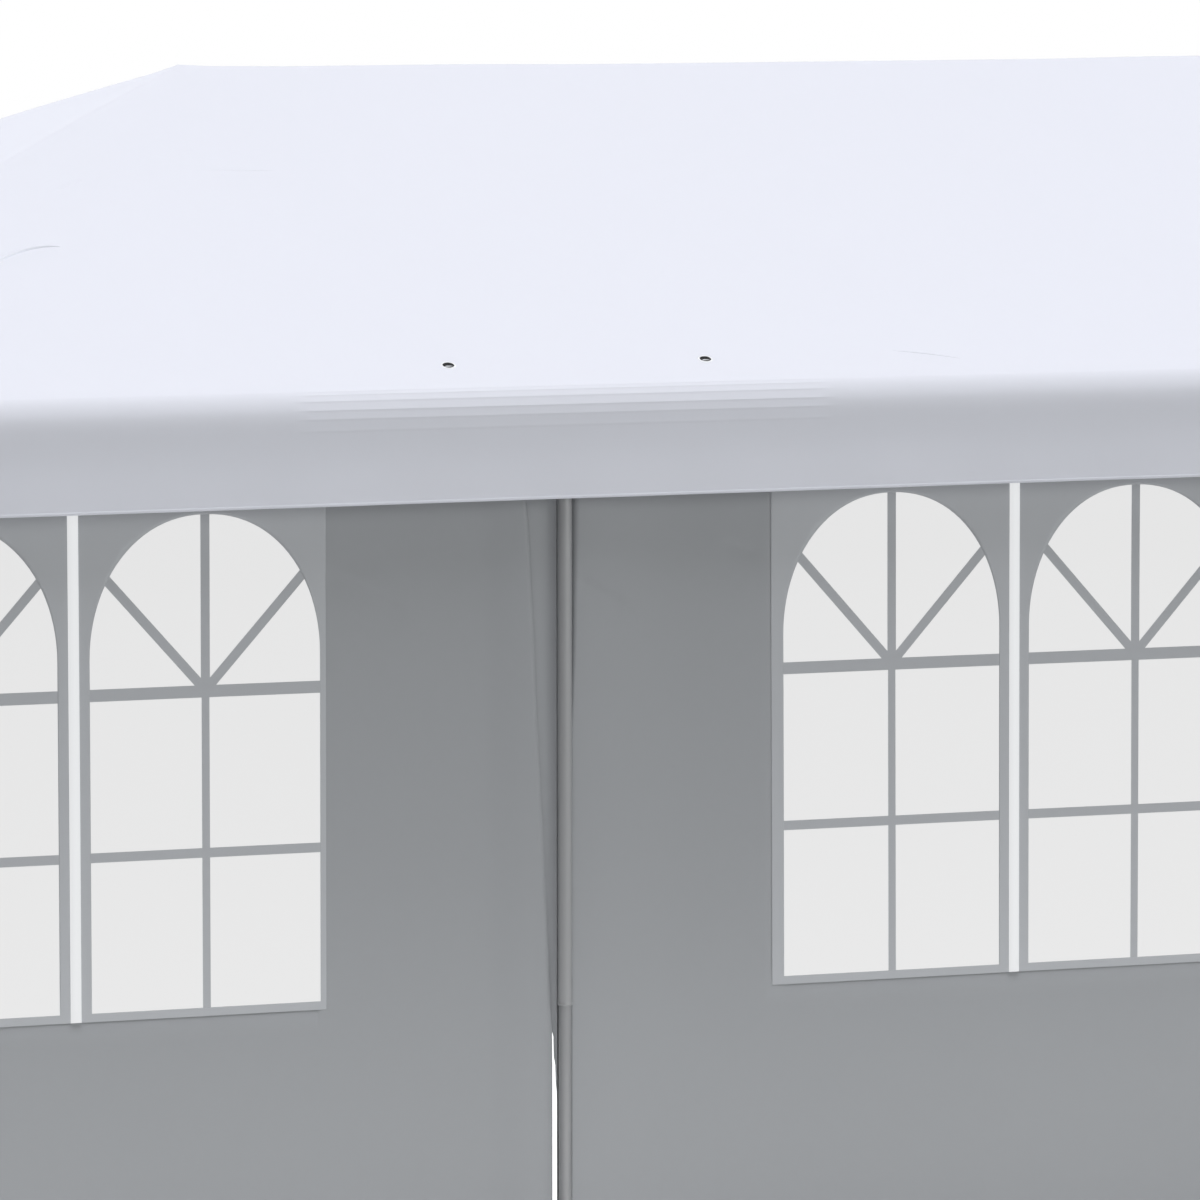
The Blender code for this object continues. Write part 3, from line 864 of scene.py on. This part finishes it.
def roof_points(place, outward, out, height, facets=None):
    """Points of the cover, row by row up the section and column by column round it.

    The straight halves are the frame's plus how far out the row is, less the corner radius. Between the
    ends of the streaks the front takes the facets' section. The reliefs of slopes and valance are added.
    """
    out, height = np.asarray(out)[:, None], np.asarray(height)[:, None]
    half_x, half_y = HALF_LENGTH + out, HALF_WIDTH + out
    radius = np.minimum(np.interp(out, CORNER_OUT, [HIP_CORNER, VALANCE_CORNER]), half_y)
    out_x, out_y = outward[None, :, 0], outward[None, :, 1]
    x = place[None, :, 0] * (half_x - radius) + out_x * radius
    y = place[None, :, 1] * (half_y - radius) + out_y * radius
    z = np.repeat(height, len(place), axis=1)
    if facets is not None:
        flat_out, flat_height = facets
        streaked = inside(x, STREAK_RANGE) & (out_y < -0.9)
        y = y - (flat_out[:, None] - out) * streaked
        z = z + (flat_height[:, None] - height) * streaked
    long_side = np.abs(out_y) > 0.7
    z = z + slope_relief(x, y, out, long_side)
    wave, swing = valance_relief(x, y, z, long_side)
    return np.stack([x + wave * out_x, y + wave * out_y, z + swing], axis=-1)


def cover_mesh(name, columns, points, lengths):
    """A ring round the cover; its flat places run along each side of the tent and up the cloth's length."""
    side = columns[2]
    faces = grid_faces(*points.shape[:2], closed=True)
    face_side = side[faces[:, 0] % len(side)]
    corners = points.reshape(-1, 3)[faces][..., :2]
    across = (corners * SIDE_ALONG[face_side][:, None, :]).sum(axis=-1) + SIDE_APART * face_side[:, None]
    return mesh_from(name, points, faces, np.stack([across, lengths[faces // len(side)]], axis=-1))


def roof_cloth(material):
    """Roof and valance in one sheet: rings from the hem up over the eave to the ridge line."""
    lengths, out, height = eave_section()
    slope = stations(0.0, SLOPE_RUN, SLOPE_STEP, SLOPE_ROWS)[1:]
    slope_out = CLOTH_START[0] - slope
    slope_height = CLOTH_START[1] + SLOPE_CLIMB * (slope / slope[-1])
    slant = np.hypot(slope, slope_height - CLOTH_START[1])
    all_out, flat_out = (np.concatenate([values[::-1], slope_out])
                         for values in (out, faceted(lengths, out, STREAK_RISE)))
    all_height, flat_height = (np.concatenate([values[::-1], slope_height])
                               for values in (height, faceted(lengths, height)))
    columns = ring_columns()
    points = roof_points(*columns[:2], all_out, all_height, (flat_out, flat_height))
    up_cloth = np.concatenate([(lengths[-1] - lengths)[::-1], lengths[-1] + slant])
    mesh = cover_mesh("roof_cover_cloth", columns, points, up_cloth)
    weld(mesh, WELD_DISTANCE)
    return piece(mesh, material, ["roof_cover"])


# The rolled hem of the valance in section: how far out of the cloth, and how high above the hem's foot
BEAD_SECTION = np.array([
    (-0.0010, 0.0062), (-0.0018, 0.0030), (-0.0014, 0.0010), (0.0, -0.0002), (0.0017, 0.0010),
    (0.0022, 0.0032), (0.0016, 0.0054), (0.0004, 0.0066)])
BEAD_MIDDLE = 0.010
BEAD_LENGTH = 0.05


def roof_hem(material):
    """The rolled hem along the valance's foot: a round bead in section, carried round the cover."""
    out, height = eave_section()[1:]
    hem_out = np.interp(HEM_Z + BEAD_MIDDLE, height[::-1], out[::-1])
    columns = ring_columns()
    points = roof_points(*columns[:2], hem_out + BEAD_SECTION[:, 0], HEM_Z + BEAD_SECTION[:, 1])
    mesh = cover_mesh("roof_hem", columns, points, np.linspace(0, BEAD_LENGTH, len(BEAD_SECTION)))
    return piece(mesh, material)


def on_slope(x, y, lift, at_end=False):
    """Points lifted off a slope at the places x and y, by the same formula as the cover's own points."""
    shape = x.shape
    x, y, lift = x.ravel(), y.ravel(), lift.ravel()
    side = np.sign(x) if at_end else np.sign(y)
    nil = 0.0 * side
    out = np.abs(x) - HALF_LENGTH if at_end else np.abs(y) - HALF_WIDTH
    height = CLOTH_START[1] + SLOPE_CLIMB * (CLOTH_START[0] - out) / SLOPE_RUN
    radius = np.interp(out, CORNER_OUT, [HIP_CORNER, VALANCE_CORNER])
    if at_end:
        place = np.stack([side, y / np.maximum(HALF_WIDTH + out - radius, NARROW)], axis=-1)
        outward = np.stack([side, nil], axis=-1)
    else:
        place = np.stack([x / (HALF_LENGTH + out - radius), side], axis=-1)
        outward = np.stack([nil, side], axis=-1)
    count = np.arange(len(x))
    points = roof_points(place, outward, out, height)[count, count]
    normal = np.concatenate([outward * SLOPE_CLIMB, nil[:, None] + SLOPE_RUN], axis=-1)
    return (points + lift[:, None] * normal / np.hypot(SLOPE_CLIMB, SLOPE_RUN)).reshape(*shape, 3)


# Small folds of the roof cloth: paths in plan, width and height, on the long slopes and on the end slopes
SIDE_FOLDS = (
    (((-2.100, -0.938), (-2.030, -0.876), (-1.973, -0.845), (-1.920, -0.841)), 0.0130, 0.0050),
    (((-1.888, -0.594), (-1.814, -0.536)), 0.0080, 0.0010),
    (((-1.549, -0.495), (-1.380, -0.502)), 0.0080, 0.0008),
    (((-0.262, -1.386), (-0.195, -1.401), (-0.125, -1.428)), 0.0090, 0.0016),
    (((1.905, 0.940), (1.960, 0.905), (2.040, 0.890)), 0.0130, 0.0048),
    (((0.620, 1.395), (0.500, 1.432)), 0.0090, 0.0015),
)
END_FOLDS = (
    (((-2.300, 0.560), (-2.180, 0.520), (-2.060, 0.440)), 0.0120, 0.0040),
    (((2.250, -0.520), (2.160, -0.470), (2.080, -0.380)), 0.0120, 0.0040),
)
# A fold in section: place across from its inner to its outer edge, and height
FOLD_SECTION = np.array([(-1.0, -0.1), (-0.2, 0.6), (0.5, 1.0), (0.8, 0.85), (1.0, -0.15)])
FOLD_POINTS = 25
FOLD_COLUMNS = 11


def roof_fold(path, width, height, at_end=False):
    """A narrow raised fold along a smooth path, steep on its outward side, that fades at both ends."""
    path = np.array(path)
    along = np.linspace(0.0, 1.0, FOLD_POINTS)
    knots = np.linspace(0.0, 1.0, len(path))
    curves = [np.polyfit(knots, path[:, axis], len(path) - 1) for axis in (0, 1)]
    line = np.stack([np.polyval(curve, along) for curve in curves], axis=-1)
    way = np.gradient(line, axis=0)
    way /= np.linalg.norm(way, axis=1, keepdims=True)
    aside = np.stack([-way[:, 1], way[:, 0]], axis=-1)
    share = np.linspace(1.0, -1.0, FOLD_COLUMNS)
    outward = np.sign((aside * line)[FOLD_POINTS // 2, 0 if at_end else 1])
    section = np.interp(share * outward, *FOLD_SECTION.T)
    fade = np.sqrt(np.sin(pi * np.clip(along, 0.01, 0.99)))
    places = line[:, None, :] + share[None, :, None] * aside[:, None, :] * width * fade[:, None, None] / 2
    return on_slope(places[..., 0], places[..., 1], section * height * fade[:, None], at_end), places


def roof_folds(material):
    """All small folds of the roof as one piece."""
    folds = [roof_fold(*fold) for fold in SIDE_FOLDS] + [roof_fold(*fold, True) for fold in END_FOLDS]
    return piece(joined_strips("roof_folds", folds), material)


# Eyelets: places by each inner post, and turned forms of rim, painted hole shade and lip as (radius,
# height)
EYELET_X = (-0.220, 0.3265)
EYELET_Y = 1.4050
EYELET_SIDES = 28
EYELET_RIM = ((0.0158, -0.0004), (0.0150, 0.0012), (0.0134, 0.0017), (0.0121, 0.0010), (0.0120, -0.0004))
EYELET_HOLE_SHADE = ((0.0124, 0.0003), (0.0060, 0.0003), (0.0002, 0.0003))
EYELET_LIP = ((0.0090, 0.0002), (0.0050, 0.0012), (0.0002, 0.0014))
LIP_SQUASH = 0.27
LIP_DOWN = 0.0042


def eyelet_mesh(name, profile, squash=1.0, shift=0.0):
    """A turned form at every eyelet beside the inner posts; its heights stand square to the slope.

    Squash flattens it up and down the slope, and shift moves it down the slope.
    """
    radius, height = np.array(profile).T[..., None]
    angle = np.linspace(0.0, 2.0 * pi, EYELET_SIDES, endpoint=False)
    down = (shift + squash * radius * np.sin(angle)) * SLOPE_RUN / np.hypot(SLOPE_CLIMB, SLOPE_RUN)
    rings = []
    for side in SIDES.values():
        for post in POST_X[1:3]:
            for step in EYELET_X:
                x = -side * (post + step) + radius * np.cos(angle)
                rings.append(on_slope(x, side * (EYELET_Y + down), height + 0.0 * x))
    return joined_mesh(name, rings, closed=True)


def eyelets(rim_material, metal, dark):
    """The roof's eyelets: a raised rim, a dark disc of painted shade in the hole, and a lip low in it."""
    meshes = (eyelet_mesh("roof_eyelets", EYELET_RIM), eyelet_mesh("roof_eyelet_hole_shades", EYELET_HOLE_SHADE),
              eyelet_mesh("roof_eyelet_lips", EYELET_LIP, LIP_SQUASH, LIP_DOWN))
    finishes = (rim_material, dark, metal)
    return [piece(mesh, finish) for mesh, finish in zip(meshes, finishes)]


# Shader nodes

def add(tree, kind, values=None, **settings):
    """A new node with its settings, and its input values by socket name or number."""
    new = tree.nodes.new(kind)
    for key, value in settings.items():
        setattr(new, key, value)
    for key, value in (values or {}).items():
        new.inputs[key].default_value = value
    return new


def fed(tree, kind, links, values=None, **settings):
    """A new node whose inputs are linked by socket name or number; gives its first output."""
    new = add(tree, kind, values, **settings)
    for key, source in links.items():
        tree.links.new(source, new.inputs[key])
    return new.outputs[0]


def reckon(tree, operation, first, second):
    """The result of a Math node; each operand is a number or a socket."""
    new = add(tree, "ShaderNodeMath", operation=operation)
    for socket, value in zip(new.inputs, (first, second)):
        if isinstance(value, (int, float)):
            socket.default_value = value
        else:
            tree.links.new(value, socket)
    return new.outputs[0]


def noise(tree, place, scale, detail, roughness=0.5):
    """The factor of a noise at a place."""
    values = {"Scale": scale, "Detail": detail, "Roughness": roughness}
    return fed(tree, "ShaderNodeTexNoise", {"Vector": place}, values)


def object_place(tree):
    """Object coordinates."""
    return add(tree, "ShaderNodeTexCoord").outputs["Object"]


def new_group(name, inputs, output):
    """An empty node group with the named sockets: its tree, its inputs, and its one output's socket."""
    group = bpy.data.node_groups.new(name, "ShaderNodeTree")
    for label, kind, value in inputs:
        socket = group.interface.new_socket(label, in_out="INPUT", socket_type=kind)
        socket.default_value = value
    group.interface.new_socket(output[0], in_out="OUTPUT", socket_type=output[1])
    given, result = group.nodes.new("NodeGroupInput"), group.nodes.new("NodeGroupOutput")
    return group, given.outputs, result.inputs[output[0]]


def woven_tape_group():
    """Height of a plain weave of flat tapes on the cloth's own UV map: crossed bands, and slight slubs."""
    group, given, height = new_group(
        "woven_tape", [("Threads", "NodeSocketFloat", 300.0)], ("Height", "NodeSocketFloat"))
    uv = add(group, "ShaderNodeUVMap", uv_map="cloth").outputs["UV"]
    bands = []
    for direction in ("X", "Y"):
        wave = add(group, "ShaderNodeTexWave", {"Distortion": 0.0}, wave_type="BANDS",
                   bands_direction=direction)
        group.links.new(uv, wave.inputs["Vector"])
        group.links.new(given["Threads"], wave.inputs["Scale"])
        bands.append(wave.outputs["Fac"])
    slubs = reckon(group, "MULTIPLY", noise(group, uv, 140.0, 2.0), 0.6)
    group.links.new(reckon(group, "ADD", reckon(group, "MAXIMUM", *bands), slubs), height)
    return group


def cloth_tone_group():
    """Colour of cloth with slow and fine unevenness: the base colour times a factor close to 1."""
    group, given, color = new_group(
        "cloth_tone",
        [("Color", "NodeSocketColor", (0.8, 0.8, 0.8, 1.0)), ("Amount", "NodeSocketFloat", 0.04)],
        ("Color", "NodeSocketColor"))
    place = object_place(group)
    slow = reckon(group, "MULTIPLY", noise(group, place, 1.7, 3.0), 0.65)
    fine = reckon(group, "MULTIPLY", noise(group, place, 46.0, 3.0), 0.35)
    swing = reckon(group, "SUBTRACT", reckon(group, "ADD", slow, fine), 0.5)
    factor = reckon(group, "ADD", 1.0, reckon(group, "MULTIPLY", swing, given["Amount"]))
    tint = fed(group, "ShaderNodeVectorMath", {0: given["Color"], "Scale": factor}, operation="SCALE")
    group.links.new(tint, color)
    return group


# Colours of cloth, film and metal
ROOF_WHITE = (0.788, 0.802, 0.864, 1.0)
WALL_GREY = (0.381, 0.392, 0.407, 1.0)
PRINT_GREY = (0.504, 0.518, 0.538, 1.0)
BAR_GREY = (0.485, 0.498, 0.518, 1.0)
ZIP_GREY = (0.26, 0.27, 0.28, 1.0)
FILM_MILKY = (0.12, 0.12, 0.12, 1.0)
# Painted glow: light the film emits, standing in for daylight through it, though it is no lamp
FILM_PAINTED_GLOW = (1.0, 1.0, 1.0, 1.0)
# The tape's dark base colour and its painted glow: the emitted glow, not a lamp, makes the tape bright
TAPE_BASE_GREY = (0.16, 0.16, 0.16, 1.0)
TAPE_PAINTED_GLOW = (0.97, 0.985, 1.0, 1.0)
TUBE_GREY = (0.375, 0.379, 0.384, 1.0)
# The lower tubes' grey is the upper tubes' paint made darker: painted shade for the lower, more shut-in
# tube
LOWER_TUBE_SHADED_GREY = (0.330, 0.334, 0.340, 1.0)
CONNECTOR_GREY = (0.42, 0.42, 0.43, 1.0)
EYELET_GREY = (0.42, 0.43, 0.44, 1.0)
RIM_WHITE = (0.93, 0.94, 0.96, 1.0)
# Painted shade: near-black for the discs that stand for the shaded inside seen through the eyelets
HOLE_PAINTED_SHADE = (0.015, 0.015, 0.016, 1.0)
BARE_STEEL = (0.30, 0.30, 0.31, 1.0)
FLOOR_GREY = (0.50, 0.50, 0.50, 1.0)


# Materials

def new_material(name, **values):
    """A material with only its Principled shader, whose plain values are given by socket name."""
    material = bpy.data.materials.new(name)
    material.use_nodes = True
    shader = material.node_tree.nodes["Principled BSDF"]
    for key, value in values.items():
        shader.inputs[key.replace("_", " ")].default_value = value
    return material, material.node_tree, shader.inputs


def toned(tree, group, color, amount):
    """A colour with the unevenness of cloth."""
    new = add(tree, "ShaderNodeGroup")
    new.node_tree = group
    new.inputs["Color"].default_value = color
    new.inputs["Amount"].default_value = amount
    return new.outputs["Color"]


def cloth_material(name, color, roughness, groups, tone=0.05, bump=0.25, shine=0.25):
    """Coated woven cloth: uneven tone, a fine weave and small puckers in the bump."""
    material, tree, shader = new_material(name, Roughness=roughness, Specular_IOR_Level=shine)
    tree.links.new(toned(tree, groups["tone"], color, tone), shader["Base Color"])
    weave = add(tree, "ShaderNodeGroup")
    weave.node_tree = groups["weave"]
    puckers = fed(tree, "ShaderNodeBump", {"Height": noise(tree, object_place(tree), 9.0, 4.0)},
                  {"Strength": 0.25, "Distance": 0.0030})
    threads = fed(tree, "ShaderNodeBump", {"Height": weave.outputs["Height"], "Normal": puckers},
                  {"Strength": bump, "Distance": 0.0002})
    tree.links.new(threads, shader["Normal"])
    return material


def film_material(name, color, glow, groups):
    """Milky window film: smooth plastic, with an even emitted glow painted in for the daylight through it.
    """
    material, tree, shader = new_material(
        name, Roughness=0.45, Specular_IOR_Level=0.20, Emission_Color=glow, Emission_Strength=0.71)
    tree.links.new(toned(tree, groups["tone"], color, 0.015), shader["Base Color"])
    return material


def steel_material(name, color, roughness, metallic, scuff):
    """Painted steel: uneven gloss, a faint grain in the bump and, by scuff, small bare marks."""
    material, tree, shader = new_material(name, Metallic=metallic)
    place = object_place(tree)
    mottle = noise(tree, place, 24.0, 5.0)
    gloss = fed(tree, "ShaderNodeMapRange", {"Value": mottle},
                {"To Min": roughness - 0.06, "To Max": roughness + 0.10})
    worn = fed(tree, "ShaderNodeMapRange", {"Value": noise(tree, place, 70.0, 6.0, 0.7)},
               {"From Min": 0.62, "From Max": 0.72, "To Max": scuff})
    blend = add(tree, "ShaderNodeMix", {6: color, 7: BARE_STEEL}, data_type="RGBA")
    grain = fed(tree, "ShaderNodeBump", {"Height": mottle}, {"Strength": 0.15, "Distance": 0.0003})
    tree.links.new(worn, blend.inputs[0])
    tree.links.new(blend.outputs[2], shader["Base Color"])
    tree.links.new(gloss, shader["Roughness"])
    tree.links.new(grain, shader["Normal"])
    return material


def finish_steel(tube, connector):
    """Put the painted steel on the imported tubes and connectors."""
    finishes = {"pole": tube, "rafter": tube, "connector": connector, "tee": connector}
    for name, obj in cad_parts.items():
        for word, material in finishes.items():
            if word in name:
                for place in obj.material_slots:
                    place.material = material


# Light, floor and camera
FLOOR_REACH = 12.0
AMBIENT = 0.08
AMBIENT_COLOR = (0.97, 0.985, 1.0, 1.0)
LOW_LIGHT = 1.036
LOW_LIGHT_AWAY = 0.8
LOW_LIGHT_Z = 0.10
LOW_LIGHT_WIDTH = 0.5
LOW_LIGHT_SPREAD = 115
LOW_LIGHT_TILT = 115
SLIT_LIGHT = 1.1
SLIT_SIZE = (0.36, 0.76)
SLIT_BEHIND = 0.18
SLIT_Z = 0.40
CAMERA_PLACE = (-4.0215, -12.870, 3.162)
CAMERA_TURN = 15.2351
CAMERA_TILT = 7.708
CAMERA_LENS = 174.0

# Soft distant lights: name, strength, spread, tilt from overhead, turn in plan, and colour
SUNS = (
    ("overhead", 2.50, 36, 4, 0, (1.0, 1.0, 1.035)),
    ("front_fill", 1.04, 50, 80, 32, (0.98, 1.0, 0.985)),
    ("back_fill", 1.04, 50, 80, 212, (0.98, 1.0, 0.985)),
    ("left_fill", 0.915, 10, 80, -96, (1.0, 1.0, 1.0)),
    ("right_fill", 0.915, 10, 80, 96, (1.0, 1.0, 1.0)),
)


def put(name, data, place, tilt, turn):
    """A light or camera at its place, tipped up from facing straight down and turned in plan."""
    obj = bpy.data.objects.new(name, data)
    obj.location = place
    obj.rotation_euler = (radians(tilt), 0.0, radians(turn))
    bpy.context.scene.collection.objects.link(obj)
    return obj


def add_sun(name, strength, spread, tilt, turn, color):
    """A soft distant light."""
    light = bpy.data.lights.new(name, "SUN")
    light.energy = strength
    light.angle = radians(spread)
    light.color = color
    put(name, light, (0.0, 0.0, 0.0), tilt, turn)


def add_panel_light(name, energy, size, place, tilt, turn):
    """A flat light of the given length and width."""
    light = bpy.data.lights.new(name, "AREA")
    light.energy = energy
    light.shape = "RECTANGLE"
    light.size, light.size_y = size
    return put(name, light, place, tilt, turn)


def build_lights():
    """A wide light from above, a fill from each side, low strips beside the walls, and light in the slits.

    Each strip faces its wall from below. The light behind a slit stands for the daylight seen through it.
    """
    for sun in SUNS:
        add_sun(*sun)
    reach_x, reach_y = HALF_LENGTH + LOW_LIGHT_AWAY, HALF_WIDTH + LOW_LIGHT_AWAY
    for name, x, y, length, turn in (("front", 0.0, -reach_y, 8.0, 0), ("back", 0.0, reach_y, 8.0, 180),
                                     ("left", -reach_x, 0.0, 5.0, -90), ("right", reach_x, 0.0, 5.0, 90)):
        lamp = add_panel_light(f"low_{name}", LOW_LIGHT * length, (length, LOW_LIGHT_WIDTH),
                               (x, y, LOW_LIGHT_Z), LOW_LIGHT_TILT, turn)
        lamp.data.spread = radians(LOW_LIGHT_SPREAD)
        lamp.visible_camera = False
    for side_name, side in SIDES.items():
        for number in (1, 2):
            place = (POST_X[number], side * (HALF_WIDTH - SLIT_BEHIND), SLIT_Z)
            lamp = add_panel_light(f"slit_{side_name}_{number}", SLIT_LIGHT, SLIT_SIZE,
                                   place, 90, 90 - 90 * side)
            lamp.visible_camera = True


def build_floor():
    """A plain pale floor, wide enough for every view."""
    mesh = bpy.data.meshes.new("floor")
    corners = [(x * FLOOR_REACH, y * FLOOR_REACH, 0) for x, y in ((-1, -1), (1, -1), (1, 1), (-1, 1))]
    mesh.from_pydata(corners, [], [(0, 1, 2, 3)])
    finish = new_material("pale_floor", Base_Color=FLOOR_GREY, Roughness=0.9, Specular_IOR_Level=0.1)
    mesh.materials.append(finish[0])
    floor = bpy.data.objects.new("floor", mesh)
    bpy.context.scene.collection.objects.link(floor)


def build_world():
    """White behind the tent for the camera, and an even grey-blue light from all round."""
    world = bpy.data.worlds.new("studio")
    bpy.context.scene.world = world
    world.use_nodes = True
    tree = world.node_tree
    tree.nodes.clear()
    ambient = add(tree, "ShaderNodeBackground", {"Color": AMBIENT_COLOR, "Strength": AMBIENT}).outputs[0]
    white = add(tree, "ShaderNodeBackground", {"Color": (1.0, 1.0, 1.0, 1.0), "Strength": 1.0}).outputs[0]
    seen = add(tree, "ShaderNodeLightPath").outputs["Is Camera Ray"]
    mix = fed(tree, "ShaderNodeMixShader", {0: seen, 1: ambient, 2: white})
    tree.links.new(mix, add(tree, "ShaderNodeOutputWorld").inputs[0])


def build_camera():
    """The photograph's view: a long lens from the left, a little above the eave."""
    camera = bpy.data.cameras.new("camera")
    camera.lens = CAMERA_LENS
    camera.sensor_width = 36.0
    camera.clip_end = 200.0
    bpy.context.scene.camera = put("camera", camera, CAMERA_PLACE, 90.0 - CAMERA_TILT, -CAMERA_TURN)


def main():
    """Set the scene, put the steel on the frame, and hang the cover and the walls."""
    bpy.context.scene.view_settings.view_transform = "Standard"
    groups = {"weave": woven_tape_group(), "tone": cloth_tone_group()}
    roof = cloth_material("roof_cloth_white", ROOF_WHITE, 0.75, groups, tone=0.012, shine=0.05)
    wall_grey = cloth_material("wall_cloth_grey", WALL_GREY, 0.60, groups)
    print_grey = cloth_material("window_print_grey", PRINT_GREY, 0.50, groups, tone=0.02, bump=0.05)
    bar_grey = cloth_material("window_bar_grey", BAR_GREY, 0.50, groups, tone=0.02, bump=0.05)
    zip_grey = cloth_material("zip_tape_grey", ZIP_GREY, 0.60, groups)
    # The film's even glow is painted light for the daylight that comes through it
    film = film_material("window_film_milky_painted_glow", FILM_MILKY, FILM_PAINTED_GLOW, groups)
    # The tape's brightness is painted light: the same even emitted glow as the film
    tape = film_material("window_tape_painted_glow", TAPE_BASE_GREY, TAPE_PAINTED_GLOW, groups)
    tube = steel_material("steel_tube_painted", TUBE_GREY, 0.40, 0.2, 0.15)
    # A darker copy of the tube paint, which paints shade on the lower tubes
    lower_tube = steel_material("steel_lower_tube_shaded", LOWER_TUBE_SHADED_GREY, 0.42, 0.2, 0.20)
    connector = steel_material("steel_connector_painted", CONNECTOR_GREY, 0.45, 0.3, 0.35)
    eyelet_metal = steel_material("eyelet_metal", EYELET_GREY, 0.35, 0.3, 0.2)
    rim_white = steel_material("eyelet_rim_white", RIM_WHITE, 0.45, 0.0, 0.1)
    # Painted shade: a near-black finish for the discs in the eyelets' holes
    dark = steel_material("eyelet_hole_painted_shade", HOLE_PAINTED_SHADE, 0.9, 0.0, 0.0)
    build_camera()
    build_world()
    build_lights()
    build_floor()
    finish_steel(tube, connector)
    build_legs(tube, lower_tube)
    cover = roof_cloth(roof)
    trims = [roof_hem(roof), roof_folds(roof), *eyelets(rim_white, eyelet_metal, dark)]
    for wall in side_walls():
        panel = hang_side_panel(wall, wall_grey)
        plates = window_plates(wall, print_grey)
        bars = window_bars(wall, bar_grey)
        panes = window_film(wall, film)
        band = window_tape(wall, tape)
        foot = foot_hem(wall, *panel_reach(wall), wall_grey)
    for wall in end_walls():
        sheet = hang_end_wall(wall, wall_grey)
        foot = foot_hem(wall, -END_REACH, END_REACH, wall_grey)
        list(end_zips(wall, zip_grey, eyelet_metal))


main()
